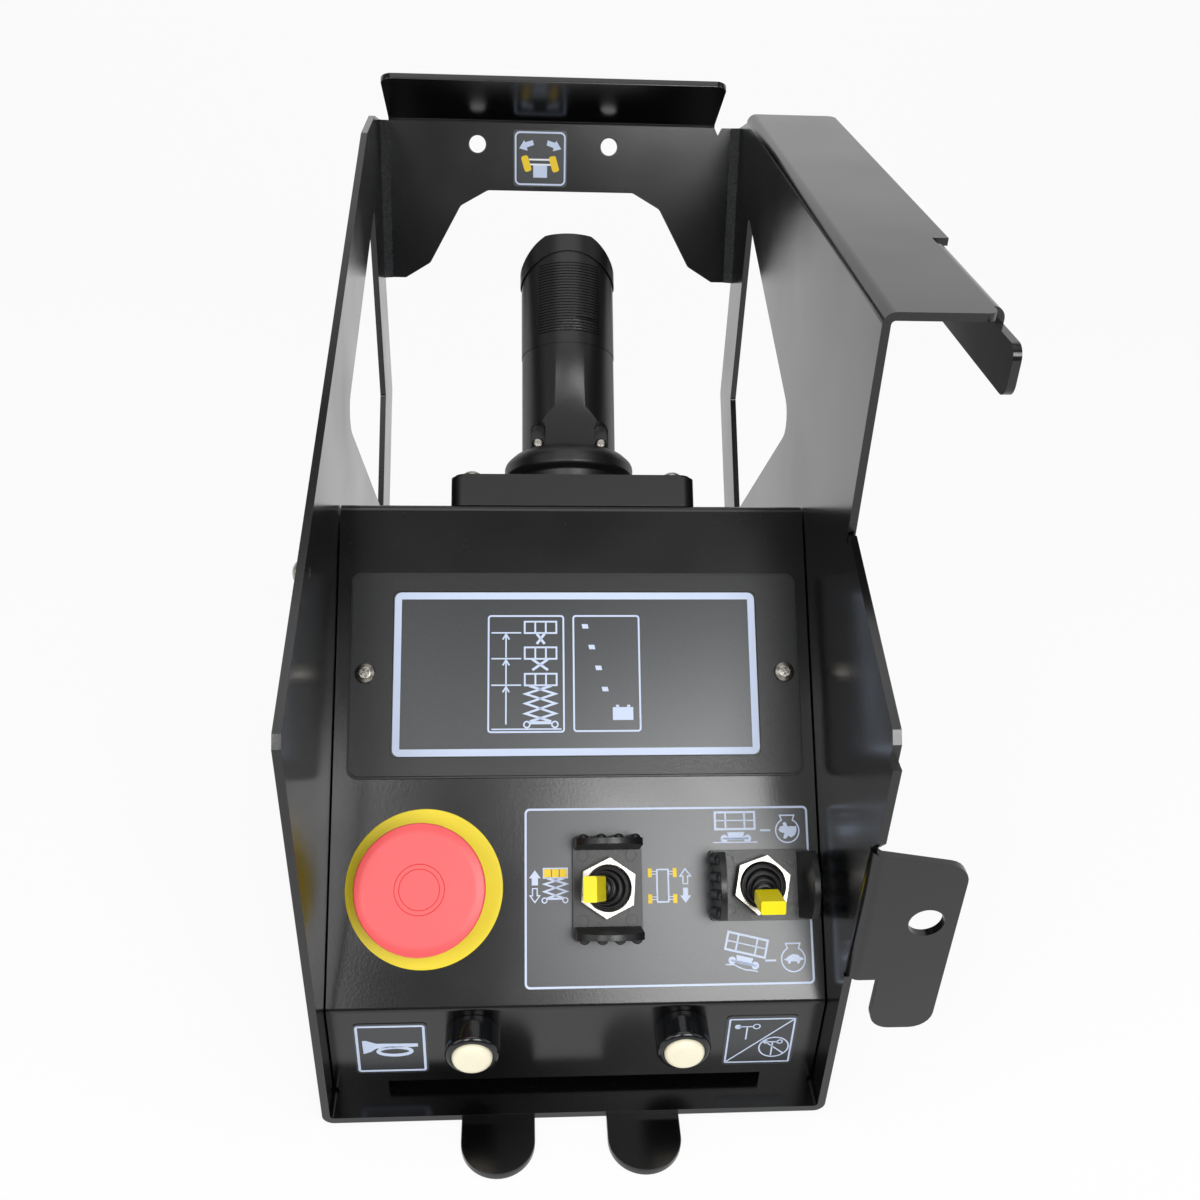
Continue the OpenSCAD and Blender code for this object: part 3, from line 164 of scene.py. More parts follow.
class ControlBoxSizes(bpy.types.PropertyGroup):
    sheet_edge: length_of("Sheet edge", "Rounding of the coated sheet's edges", 0.45)
    moulded_edge: length_of("Moulded edge", "Rounding of moulded edges", 0.35)
    fine_edge: length_of("Fine edge", "Rounding of nuts, collars and bezels", 0.3)
    disc_edge: length_of("Disc edge", "Rounding of the emergency stop's disc", 0.25)
    guard_edge: length_of("Guard edge", "Rounding of the toggles' guards", 0.2)
    base_edge: length_of("Base edge", "Rounding of the joystick's base", 0.8)
    cap_edge: length_of("Cap edge", "Rounding of the joystick's cap", 0.4)
    rocker_edge: length_of("Rocker edge", "Rounding of the thumb rocker", 0.5)
    ink_t: length_of("Ink", "Thickness of the printed ink", 0.03)
    peel: length_of("Orange peel", "Width of the powder coat's ripples", 1.0)
    lathe_steps: IntProperty(
        name="Lathe steps", description="Steps round a turned piece", default=96, min=24
    )


class ControlBoxStudio(bpy.types.PropertyGroup):
    overhead: power_of("Overhead", 5)
    front_left: power_of("Front left", 4)
    front_right: power_of("Front right", 8)
    left: power_of("Left", 4)
    right: power_of("Right", 3)
    room: FloatProperty(name="Room", description="Level of the room's own light", default=0.22)


# Materials


def add_node(tree, kind, settings, inputs):
    """Adds a node, sets its settings, and sets or links each input."""
    node = tree.nodes.new(kind)
    for name, value in settings.items():
        setattr(node, name, value)
    for key, value in inputs.items():
        if isinstance(value, bpy.types.NodeSocket):
            tree.links.new(value, node.inputs[key])
        else:
            node.inputs[key].default_value = value
    return node


def new_material(name):
    """An empty material: its tree, its shader and the position on the piece that patterns read."""
    material = bpy.data.materials.new(name)
    material.use_nodes = True
    tree = material.node_tree
    tree.nodes.clear()
    shader = add_node(tree, "ShaderNodeBsdfPrincipled", {}, {})
    add_node(tree, "ShaderNodeOutputMaterial", {}, {"Surface": shader.outputs["BSDF"]})
    position = add_node(tree, "ShaderNodeTexCoord", {}, {}).outputs["Object"]
    return material, tree, shader, position


def grain(tree, position, size, detail=2.0):
    """Noise whose features are size metres across."""
    inputs = {"Vector": position, "Scale": 1 / size, "Detail": detail}
    return add_node(tree, "ShaderNodeTexNoise", {}, inputs).outputs["Fac"]


def spread(tree, value, low, high):
    """A pattern's middle values, from low to high."""
    inputs = {"Value": value, "From Min": 0.3, "From Max": 0.7, "To Min": low, "To Max": high}
    return add_node(tree, "ShaderNodeMapRange", {}, inputs).outputs["Result"]


def tinted(tree, shader, value, dark, light):
    """Gives the shader a colour between two, as the pattern says."""
    mixed = add_node(tree, "ShaderNodeMix", {"data_type": "RGBA"}, {0: value})
    mixed.inputs[6].default_value = (*dark, 1)
    mixed.inputs[7].default_value = (*light, 1)
    tree.links.new(mixed.outputs[2], shader.inputs["Base Color"])


def bumped(tree, shader, height, strength, distance):
    inputs = {"Height": height, "Strength": strength, "Distance": distance}
    bump = add_node(tree, "ShaderNodeBump", {}, inputs)
    tree.links.new(bump.outputs["Normal"], shader.inputs["Normal"])


def shade(colour, factor):
    return [min(1, c * factor) for c in colour]


def moulded(name, colour, roughness, size, depth, variation):
    """A moulding or an ink: even colour, with a fine grain of a width and depth in mm."""
    material, tree, shader, position = new_material(name)
    fine = grain(tree, position, size * MM)
    broad = grain(tree, position, 25 * MM)
    tinted(tree, shader, broad, shade(colour, 1 - variation), shade(colour, 1 + variation))
    low, high = roughness - 0.05, roughness + 0.05
    tree.links.new(spread(tree, fine, low, high), shader.inputs["Roughness"])
    shader.inputs["IOR"].default_value = 1.5
    bumped(tree, shader, fine, 0.6, depth * MM)
    return material


def powder_coated_steel(colours, sizes):
    # Polyester powder, sprayed and baked: a deep gloss with soft ripples and a little dust in it
    material, tree, shader, position = new_material("powder_coated_steel")
    ripples = grain(tree, position, sizes.peel, 1.0)
    dust = grain(tree, position, 0.5 * MM, 0.0)
    inputs = {"Value": dust, "From Min": 0.80, "From Max": 0.86}
    specks = add_node(tree, "ShaderNodeMapRange", {}, inputs).outputs["Result"]
    haze = grain(tree, position, 60 * MM)
    tinted(tree, shader, specks, colours.coat, linear("#3a3b3d"))
    tree.links.new(spread(tree, haze, 0.16, 0.24), shader.inputs["Roughness"])
    shader.inputs["IOR"].default_value = 1.58
    bumped(tree, shader, ripples, 1.0, 0.016 * MM)
    return material


def weld_metal(colours):
    # Weld bead under the same coat: lumpy and a little duller
    material, tree, shader, position = new_material("coated_weld_bead")
    lumps = grain(tree, position, 0.9 * MM, 3.0)
    tinted(tree, shader, spread(tree, lumps, 0, 1), colours.coat, linear("#3a3c3e"))
    shader.inputs["Roughness"].default_value = 0.34
    bumped(tree, shader, lumps, 1.0, 0.5 * MM)
    return material


def bare_metal(name, width, detail, dark, light):
    """A bright metal with marks of a width in mm: its material, tree, shader and marks."""
    material, tree, shader, position = new_material(name)
    marks = grain(tree, position, width * MM, detail)
    tinted(tree, shader, marks, linear(dark), linear(light))
    shader.inputs["Metallic"].default_value = 1.0
    bumped(tree, shader, marks, 0.2, 0.02 * MM)
    return material, tree, shader, marks


def nickel_plated_steel():
    # Barrel-plated steel: warm, with faint tumbling marks
    material, tree, shader, marks = bare_metal("nickel_plated_steel", 0.6, 3, "#8a867f", "#b8b4ac")
    tree.links.new(spread(tree, marks, 0.2, 0.42), shader.inputs["Roughness"])
    return material


def machined_steel():
    # Turned steel: grey, with fine tool marks
    material, _, shader, _ = bare_metal("machined_steel", 0.3, 2, "#8b8d90", "#bfc1c4")
    shader.inputs["Roughness"].default_value = 0.32
    return material


def label_film(colours):
    # Screen-printed polyester with a velvet surface: dull, with a fine sparkle
    material, tree, shader, position = new_material("velvet_label_film")
    stipple = grain(tree, position, 0.45 * MM, 1.0)
    dark, light = shade(colours.film, 0.8), shade(colours.film, 1.25)
    tinted(tree, shader, spread(tree, stipple, 0, 1), dark, light)
    shader.inputs["Roughness"].default_value = 0.3
    shader.inputs["IOR"].default_value = 1.64
    bumped(tree, shader, stipple, 1.0, 0.004 * MM)
    return material


# Finish: material, colour, roughness, width and depth of the grain in mm, variation of the colour
MOULDED = {
    # ABS from a spark-eroded mould: an even leathery grain
    "textured": ("spark_textured_abs", "textured", 0.34, 0.7, 0.06, 0.12),
    # Polished ABS: smooth and glossy
    "gloss": ("polished_black_abs", "textured", 0.16, 0.8, 0.004, 0.12),
    # Glass-filled nylon: satin, with a faint flow grain
    "grip": ("satin_black_nylon", "grip", 0.36, 0.5, 0.006, 0.12),
    # Moulded EPDM rubber: soft dull sheen
    "rubber": ("moulded_epdm_rubber", "grip", 0.4, 0.7, 0.008, 0.12),
    # Partly painted sheen: the red base colour is lightened towards pink for the sheen on the
    # head's top
    "stop_red": ("moulded_red_polycarbonate", "stop_red", 0.36, 0.6, 0.01, 0.04),
    "stop_yellow": ("yellow_anodised_disc", "stop_yellow", 0.4, 0.5, 0.006, 0.04),
    "lever_yellow": ("yellow_moulded_pvc", "lever_yellow", 0.38, 0.6, 0.01, 0.05),
    "cream": ("cream_moulded_silicone", "cream", 0.3, 0.8, 0.008, 0.03),
    "module": ("grey_moulded_nylon", "module", 0.5, 0.6, 0.02, 0.12),
    "ivory": ("ivory_moulded_polyester", "ivory", 0.45, 0.6, 0.02, 0.12),
    "board": ("green_solder_mask", "board", 0.3, 1.2, 0.01, 0.12),
    # Screen-printed inks: flat and dull, slightly uneven in cover
    "pale_ink": ("pale_screen_ink", "pale_ink", 0.5, 0.4, 0.005, 0.04),
    "white_ink": ("white_screen_ink", "white_ink", 0.5, 0.4, 0.005, 0.04),
    "yellow_ink": ("yellow_screen_ink", "yellow_ink", 0.5, 0.4, 0.005, 0.04),
}


def materials_of(colours, sizes):
    """Every material of the control box, under the name of its finish."""
    finishes = {
        "coat": powder_coated_steel(colours, sizes),
        "weld": weld_metal(colours),
        "nickel": nickel_plated_steel(),
        "steel": machined_steel(),
        "film": label_film(colours),
    }
    for finish, (name, colour, *surface) in MOULDED.items():
        finishes[finish] = moulded(name, getattr(colours, colour), *surface)
    return finishes


SLOT_FINISH = {
    "guard_coat": "coat",
    "nickel": "nickel",
    "black_plastic": "textured",
    "gloss_black_plastic": "gloss",
    "grip_plastic": "grip",
    "label_film": "film",
    "circuit_board": "board",
    "grey_plastic": "module",
    "block_plastic": "ivory",
    "estop_yellow": "stop_yellow",
    "estop_red": "stop_red",
    "lever_yellow": "lever_yellow",
    "cream_plastic": "cream",
    "rubber": "rubber",
    "steel": "steel",
}
SLOT_OF_NODE = {s["node"]: s["material_slot"] for s in frame["record"]["subparts"]}
BODIES = frame["record"]["behaviour"]["bodies"]
BODY_OF_NODE = {node: body for body, nodes in BODIES.items() for node in nodes}
made = {}


# Pieces


def merged(shape, gap=MERGE):
    """The shape with the corners that lie in one place joined."""
    bmesh.ops.remove_doubles(shape, verts=shape.verts[:], dist=gap)
    return shape


def flattened(shape):
    """The shape with its flat faces whole again."""
    bmesh.ops.dissolve_limit(shape, angle_limit=FLAT, verts=shape.verts[:], edges=shape.edges[:])
    return shape


def copy_of(node):
    """A merged copy of a CAD node, with its flat faces whole again."""
    shape = bmesh.new()
    mesh = frame["nodes"][node].data
    corners = [shape.verts.new(v.co) for v in mesh.vertices]
    for polygon in mesh.polygons:
        shape.faces.new([corners[i] for i in polygon.vertices])
    return flattened(merged(shape, 2 * MERGE))


def round_edges(shape, width, segments=2, sharp=32):
    """Bevels the edges that turn by more than sharp degrees."""
    least = math.radians(sharp)
    edges = [e for e in shape.edges if e.is_manifold and e.calc_face_angle(0) > least]
    bmesh.ops.bevel(
        shape, geom=edges, offset=width, offset_type="OFFSET", segments=segments, profile=0.5,
        affect="EDGES", clamp_overlap=True, material=-1,
    )


def object_of(shape, name):
    """Turns a bmesh into an object of the scene."""
    mesh = bpy.data.meshes.new(name)
    shape.to_mesh(mesh)
    shape.free()
    made_object = bpy.data.objects.new(name, mesh)
    bpy.context.scene.collection.objects.link(made_object)
    return made_object


def finish_piece(shape, name, finish, body, replaces=(), sharp=38):
    """Turns a bmesh into a shaded piece of the control box that rides on a body."""
    piece = object_of(shape, name)
    piece.data.shade_smooth()
    piece.data.set_sharp_from_angle(angle=math.radians(sharp))
    piece.data.materials.append(made[finish])
    weighted = piece.modifiers.new("weighted_normals", "WEIGHTED_NORMAL")
    weighted.keep_sharp = True
    if replaces:
        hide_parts(*replaces)
    if body:
        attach(piece, body)
    return piece


def refined(node, width, segments=2):
    """Stands for one CAD node: the same shape with its edges rounded."""
    shape = copy_of(node)
    if width:
        round_edges(shape, width, segments)
    slot, body = SLOT_OF_NODE[node], BODY_OF_NODE[node]
    return finish_piece(shape, node + "_finished", SLOT_FINISH[slot], body, [node])


def rounded_line(points, steps=6):
    """Points of a section, each with a corner radius, as a line with its corners turned to arcs."""
    line = []
    for i, (x, y, radius) in enumerate(points):
        here = Vector((x, y))
        if not radius or i in (0, len(points) - 1):
            line.append(here)
            continue
        back = (Vector(points[i - 1][:2]) - here).normalized()
        on = (Vector(points[i + 1][:2]) - here).normalized()
        half = back.angle(on) / 2
        middle = here + (back + on).normalized() * radius / math.sin(half)
        start = here + back * radius / math.tan(half) - middle
        sweep = (math.pi - 2 * half) * (-1 if back.cross(on) > 0 else 1)
        line += [middle + Matrix.Rotation(sweep * k / steps, 2) @ start for k in range(steps + 1)]
    return line


def turned(points, steps, arc_steps=6):
    """A solid turned about Z from half a section of (radius, height, corner radius) in mm."""
    shape = bmesh.new()
    line = [shape.verts.new((p.x * MM, 0, p.y * MM)) for p in rounded_line(points, arc_steps)]
    edges = [shape.edges.new(pair) for pair in zip(line, line[1:])]
    bmesh.ops.spin(
        shape, geom=line + edges, cent=(0, 0, 0), axis=(0, 0, 1), angle=math.tau, steps=steps,
        use_merge=True,
    )
    merged(shape)
    bmesh.ops.recalc_face_normals(shape, faces=shape.faces[:])
    return shape


def place(shape, matrix):
    """The shape, moved by a matrix."""
    bmesh.ops.transform(shape, matrix=matrix, verts=shape.verts[:])
    return shape


def add_to(whole, part):
    """Moves a part's mesh into a whole."""
    mesh = bpy.data.meshes.new("part")
    part.to_mesh(mesh)
    part.free()
    whole.from_mesh(mesh)
    bpy.data.meshes.remove(mesh)


def extent(node, on):
    """The lowest and the highest corner of a CAD node as seen on a face, in mm."""
    back = on.inverted()
    corners = [back @ v.co for v in frame["nodes"][node].data.vertices]
    low = Vector([min(c[i] for c in corners) for i in range(3)])
    high = Vector([max(c[i] for c in corners) for i in range(3)])
    return low / MM, high / MM


# Printed symbols, drawn in mm on a label


def stroke(shape, points, width, closed=False):
    """A printed line of even width along points, mitred where it turns."""
    path = [Vector(p) for p in points]
    count = len(path)
    sides = []
    for i, here in enumerate(path):
        before = path[i - 1] if closed or i else None
        after = path[(i + 1) % count] if closed or i < count - 1 else None
        ways = [(b - a).normalized() for a, b in ((before, here), (here, after)) if a and b]
        normals = [Vector((-w.y, w.x)) for w in ways]
        mitre = sum(normals, Vector((0, 0))).normalized()
        reach = width / 2 / max(0.35, mitre.dot(normals[0]))
        sides.append([shape.verts.new((*(here + mitre * reach * s), 0)) for s in (1, -1)])
    if closed:
        sides.append(sides[0])
    for (a, b), (c, d) in zip(sides, sides[1:]):
        shape.faces.new((a, b, d, c))


def patch(shape, points):
    """A printed area inside points."""
    shape.faces.new([shape.verts.new((*p, 0)) for p in points])


def arc(x, y, radius, start=0, end=360, steps=24):
    """Points on an arc, in degrees; a full circle leaves its last point out."""
    count = steps if end - start == 360 else steps + 1
    angles = [math.radians(start + (end - start) * i / steps) for i in range(count)]
    return [(x + radius * math.cos(a), y + radius * math.sin(a)) for a in angles]


def box_points(x0, y0, x1, y1, radius=0.0):
    """The corners of a box, or its outline where its corners are round."""
    if not radius:
        return [(x0, y0), (x1, y0), (x1, y1), (x0, y1)]
    corners = [(x1 - radius, y1 - radius, 0), (x0 + radius, y1 - radius, 90)]
    corners += [(x0 + radius, y0 + radius, 180), (x1 - radius, y0 + radius, 270)]
    return [p for x, y, a in corners for p in arc(x, y, radius, a, a + 90, 5)]


def border(shape, x0, y0, x1, y1, radius, width):
    stroke(shape, box_points(x0, y0, x1, y1, radius), width, closed=True)


def arrow(x, y, way, length, width, head):
    """The outline of an arrow from its tail, pointing way degrees."""
    spin = Matrix.Rotation(math.radians(way), 2)
    neck, half, barb = length - head, width / 2, head * 0.75
    outline = [(0, -half), (neck, -half), (neck, -barb), (length, 0)]
    outline += [(neck, barb), (neck, half), (0, half)]
    return [Vector((x, y)) + spin @ Vector(p) for p in outline]


def crossed_arms(shape, x0, x1, foot, top, width):
    """One pair of crossed lift arms."""
    stroke(shape, [(x0, foot), (x1, top)], width)
    stroke(shape, [(x1, foot), (x0, top)], width)


def platform(shape, x0, y0, x1, y1, width):
    """A platform's rails, drawn as three open bays."""
    border(shape, x0, y0, x1, y1, 0, width)
    for i in (1, 2):
        x = x0 + (x1 - x0) * i / 3
        stroke(shape, [(x, y0), (x, y1)], width)


def print_symbols(draw, name, on, height, finish, ink_t):
    """Draws symbols on a face at a height in mm and gives the ink its thickness."""
    shape = bmesh.new()
    draw(shape)
    place(shape, Matrix.Scale(MM, 4))
    bmesh.ops.recalc_face_normals(shape, faces=shape.faces[:])
    for f in shape.faces:
        if f.normal.z < 0:
            f.normal_flip()
    grown = bmesh.ops.extrude_face_region(shape, geom=shape.faces[:])
    raised = [v for v in grown["geom"] if isinstance(v, bmesh.types.BMVert)]
    bmesh.ops.translate(shape, verts=raised, vec=(0, 0, ink_t))
    bmesh.ops.recalc_face_normals(shape, faces=shape.faces[:])
    place(shape, on @ Matrix.Translation((0, 0, height * MM)))
    return finish_piece(shape, name, finish, "box")


# Symbols of each label


def zigzags(ink, left, right, heights, width):
    """A scissor lift's crossed arms: two lines that swap sides at each height."""
    for side in (0, 1):
        xs = [(left, right)[(i + side) % 2] for i in range(len(heights))]
        xs[0] += (right - left) * (0.12, -0.12)[side]
        xs[-1] += (right - left) * 0.14 * (1 if xs[-1] == left else -1)
        stroke(ink, list(zip(xs, heights)), width)


def wheel_rings(ink, xs, y, radius, width):
    for x in xs:
        stroke(ink, arc(x, y, radius, steps=16), width, closed=True)


def display_symbols(ink):
    line = 0.7
    border(ink, -34.5, 103.7, -4.8, 150, 1, line)
    border(ink, -0.8, 103.9, 25.4, 150, 1, line)
    for low in (143.1, 132.7, 122.1):
        platform(ink, -20.2, low, -7.6, low + 4.6, line)
        stroke(ink, [(-33.4, low + 0.1), (-21.6, low + 0.1)], line * 0.8)
    crossed_arms(ink, -15.4, -12.3, 138.7, 142.8, 1)
    crossed_arms(ink, -17.2, -11, 128.2, 132.5, 1)
    zigzags(ink, -19.9, -8.2, (121.9, 118.7, 114.9, 110.9, 107.8), 0.95)
    stroke(ink, [(-18, 107.3), (-9.8, 107.3)], 1.2)
    wheel_rings(ink, (-19.4, -8.4), 106.6, 1.2, 0.6)
    stroke(ink, [(-33.3, 104.8), (-5.8, 104.8)], line * 0.8)
    for foot, top in ((106.7, 121.6), (122.6, 132.3), (133.3, 142.7)):
        stroke(ink, [(-27.6, foot), (-27.6, top - 0.4)], 0.6)
        stroke(ink, [(-28.9, top - 2.2), (-27.6, top), (-26.3, top - 2.2)], 0.6)
    for x, y in ((3.9, 145.8), (6.5, 137.4), (9.1, 129), (11.6, 120.5)):
        low, high = y - 0.9, y + 0.9
        patch(ink, [(x - 1, low), (x + 1.4, low), (x + 1, high), (x - 1.4, high)])
    patch(ink, box_points(14.5, 108.2, 22.6, 113.3))
    for x in (15.8, 20.2):
        patch(ink, box_points(x, 113.4, x + 1.2, 114.2))


def display_border(ink):
    border(ink, -70.3, 95.8, 71.1, 158.2, 1.4, 2.8)


def control_symbols(ink):
    line = 0.45
    border(ink, -19.9, 7.1, 90.4, 73.7, 1.6, 0.8)
    patch(ink, arrow(-16.4, 45, 90, 5.7, 2.4, 3))
    stroke(ink, arrow(-16.4, 43.8, 270, 5.2, 1.8, 2.5), line, closed=True)
    border(ink, -13.1, 47.7, -3.9, 51.3, 0, line)
    zigzags(ink, -12.7, -4.2, (47.5, 45.4, 42.6, 40.1), 0.75)
    stroke(ink, [(-12, 39.9), (-5.4, 39.9)], 0.8)
    wheel_rings(ink, (-12.7, -4.7), 39.3, 0.95, 0.45)
    border(ink, 30.8, 38.1, 35.2, 50.3, 0.2, 0.6)
    for y in (39, 40, 48.6, 49.6):
        stroke(ink, [(28.8, y), (30.6, y)], 0.3)
        stroke(ink, [(35.4, y), (37, y)], 0.3)
    stroke(ink, arrow(41.8, 44.8, 90, 5.7, 1.8, 2.8), line, closed=True)
    patch(ink, arrow(41.8, 43.3, 270, 5.7, 1.9, 2.8))
    vehicle(ink, 54.1, 65.4, 0)
    stroke(ink, [(53.1, 60.3), (70.7, 60.3)], line)
    stroke(ink, [(71.8, 64.8), (75.9, 64.8)], 0.7)
    badge(ink, 82.6, 64.6)
    patch(ink, HARE)
    vehicle(ink, 56.5, 20.2, -13.2)
    slope = [(56.5, 14.4), (59.8, 14.3), (61.8, 13.2), (64.3, 12.3), (66.5, 12.1), (68.9, 11.6)]
    stroke(ink, slope, line)
    stroke(ink, [(71.8, 15.6), (76.1, 15.6)], 0.7)
    badge(ink, 82.8, 15.9)
    patch(ink, TORTOISE)


# A hare at a run and a tortoise, the common signs for fast and slow
HARE = [
    (79.1, 64.8), (79.7, 66.1), (81.1, 66.5), (80.9, 67.4), (81.5, 68), (82.2, 67.6), (82.8, 66.1),
    (84.5, 66.3), (85.6, 66.1), (86.2, 66.5), (86.3, 64.5), (85.6, 62.9), (84.1, 61.9), (83, 62.6),
    (81.8, 61.4), (80.9, 61.7), (81.4, 63.6), (79.9, 64),
]
TORTOISE = [
    (79, 15.9), (80.3, 16.3), (81, 17.1), (82.8, 17.9), (84.7, 17.5), (85.5, 16.7), (86.6, 16.3),
    (86.7, 15.6), (85.5, 15.4), (85.1, 14.3), (84.3, 14.3), (84.1, 15.1), (81.9, 15.1),
    (81.6, 14.3), (80.8, 14.3), (80.7, 15.2),
]


def vehicle(ink, x, y, tilt):
    """A lift seen from the side: its railed platform over a body with two wheels."""
    spin = Matrix.Rotation(math.radians(tilt), 2)

    def at(points):
        return [Vector((x, y)) + spin @ Vector(p) for p in points]

    stroke(ink, at(box_points(0, 0, 15.6, 6.5)), 0.8, closed=True)
    for post in (4.1, 11.6):
        stroke(ink, at([(post, 0.3), (post, 6.2)]), 0.65)
    stroke(ink, at([(0.3, 3.3), (15.3, 3.3)]), 0.45)
    patch(ink, at([(5.3, -4.1), (10.8, -4.1), (11.4, -1.2), (4.7, -1.2)]))
    stroke(ink, at([(3, -3.6), (13, -3.6)]), 0.7)
    for wheel in (3.5, 12.6):
        patch(ink, at(arc(wheel, -3.6, 1.45, steps=18)))


def badge(ink, x, y):
    """A round dial with a flat cap on it."""
    cap = [(x + 2.8, y + 5.9), (x - 2.8, y + 5.9)]
    stroke(ink, arc(x, y, 4.6, 118, 422, 30) + cap, 0.5, closed=True)


def control_yellow(ink):
    for x in (-12.8, -9.8, -6.8):
        patch(ink, box_points(x, 48, x + 2.6, 51))
    for x in (27.3, 37):
        for y in (37.6, 47.4):
            patch(ink, box_points(x, y, x + 1.5, y + 3.4))


def horn_symbols(ink):
    border(ink, -84.1, 14.9, -58.7, 40.9, 0.8, 1)
    patch(ink, [
        (-82.2, 32.8), (-82, 25.2), (-79.1, 26.4), (-77, 28.2), (-61.1, 29), (-61.1, 30.8),
        (-76.9, 31.1), (-80.9, 33),
    ])
    loop = [(-70 + 1.05 * px, 26.4 + 0.38 * py) for px, py in arc(0, 0, 6, steps=36)]
    stroke(ink, loop, 1.6, closed=True)


def function_symbols(ink):
    line = 0.6
    border(ink, 58.7, 14.9, 84, 40.6, 0.4, 0.7)
    stroke(ink, [(58.7, 15), (84, 40.5)], line)
    for x, y, stem, ring in ((62.1, 36.3, 28.7, 1.3), (73.8, 26.9, 18.7, 1)):
        reach = x + 5.6 * ring
        patch(ink, arc(x, y, ring, steps=18))
        stroke(ink, arc(reach, y, ring, steps=18), line * 0.8, closed=True)
        stroke(ink, [(x, y), (reach - ring, y)], line)
        stroke(ink, [((x + reach) / 2, y), ((x + reach) / 2, stem)], line)
    stroke(ink, arc(77.3, 23.8, 5.8, steps=36), line, closed=True)
    stroke(ink, [(73.8, 26.9), (81.3, 20)], line)


def steering_symbols(ink):
    border(ink, -24.2, 49.7, 2, 75.9, 2.4, 0.9)
    turning = [
        (-22.3, 67.8), (-17.8, 66.7), (-18.2, 68.3), (-14.5, 69.6), (-15.1, 72.1), (-19, 70.9),
        (-19.7, 71.9),
    ]
    patch(ink, turning)
    patch(ink, [(-22.2 - x, y) for x, y in turning])
    patch(ink, box_points(-14.8, 53.2, -7.4, 59.4))


def steering_chassis(ink):
    for y in (59.8, 62.3):
        stroke(ink, [(-17, y), (-5.2, y)], 0.9)


def steering_wheels(ink):
    spin = Matrix.Rotation(math.radians(17), 2)
    wheel = box_points(-1.9, -4.1, 1.9, 4.1, 1.2)
    for x in (-18.5, -3.7):
        patch(ink, [Vector((x, 60.2)) + spin @ Vector(p) for p in wheel])


# Screws


def pan_head():
    """A pan head whose underside lies at Z 0, with a cross recess pressed into it."""
    head = turned(
        [
            (0, 0, 0), (HEAD_R, 0, 0.15), (HEAD_R, HEAD_H * 0.55, HEAD_H * 0.4),
            (HEAD_R * 0.55, HEAD_H, HEAD_H * 0.5), (0, HEAD_H * 1.02, 0),
        ],
        40, 5,
    )
    slot_l, slot_w, slot_h = HEAD_R * 1.06, HEAD_R * 0.24, HEAD_H * 1.2
    recess = bmesh.new()
    bmesh.ops.create_cube(recess, size=1)
    place(recess, Matrix.Diagonal((slot_l * MM, slot_w * MM, slot_h * MM, 1)))
    bmesh.ops.translate(recess, verts=recess.verts[:], vec=(0, 0, HEAD_H * 1.05 * MM))
    for v in recess.verts:
        if v.co.z < HEAD_H * 0.6 * MM:
            v.co.x *= 0.55
            v.co.y *= 0.75
    other = recess.copy()
    quarter = Matrix.Rotation(math.radians(90), 3, "Z")
    bmesh.ops.rotate(other, verts=other.verts[:], matrix=quarter)
    return cut_away(head, [recess, other])


def cut_away(shape, cutters):
    """The shape less its cutters."""
    return combined(shape, cutters, "DIFFERENCE")


def combined(shape, others, operation):
    """One mesh from a shape and others, by exact booleans."""
    objects = [object_of(part, "boolean_part") for part in (shape, *others)]
    for other in objects[1:]:
        step = objects[0].modifiers.new("step", "BOOLEAN")
        step.operation = operation
        step.solver = "EXACT"
        step.object = other
    bpy.context.view_layer.update()
    ready = objects[0].evaluated_get(bpy.context.evaluated_depsgraph_get())
    result = bmesh.new()
    result.from_mesh(ready.to_mesh())
    ready.to_mesh_clear()
    for part in objects:
        mesh = part.data
        bpy.data.objects.remove(part)
        bpy.data.meshes.remove(mesh)
    return merged(result)


def screw_set(node, heads):
    """Detailed screws in place of a CAD node's: a place matrix and a shank length for each."""
    whole = bmesh.new()
    chance = random.Random(node)
    for matrix, shank in heads:
        head = pan_head()
        section = [(0, -shank, 0), (SHANK_R, -shank, 0), (SHANK_R, 0.02, 0), (0, 0.02, 0)]
        add_to(head, turned(section, 24))
        turn = Matrix.Rotation(chance.uniform(0, math.pi), 4, "Z")
        add_to(whole, place(head, matrix @ turn))
    return finish_piece(whole, node + "_pan_head", "nickel", BODY_OF_NODE[node], [node])


def block(low, high):
    """A block from its lowest to its highest corner, in mm."""
    cube = bmesh.new()
    bmesh.ops.create_cube(cube, size=1)
    size = Matrix.Diagonal([(h - l) * MM for l, h in zip(low, high)] + [1])
    middle = Vector([(h + l) / 2 * MM for l, h in zip(low, high)])
    return place(cube, Matrix.Translation(middle) @ size)


def on_face(on, x, v, h):
    """A place on a face, from mm along it and out of it."""
    return on @ Matrix.Translation((x * MM, v * MM, h * MM))


# Operators, one for each piece or group of pieces


class CONTROLBOX_OT_finishes(bpy.types.Operator):
    """Gives every CAD node the finish of its material slot"""

    bl_idname = "controlbox.finishes"
    bl_label = "Finishes"

    def execute(self, context):
        made.update(materials_of(context.scene.controlbox_colours, context.scene.controlbox_sizes))
        for name, piece in frame["nodes"].items():
            piece.data.materials.clear()
            piece.data.materials.append(made[SLOT_FINISH[SLOT_OF_NODE[name]]])
        return {"FINISHED"}


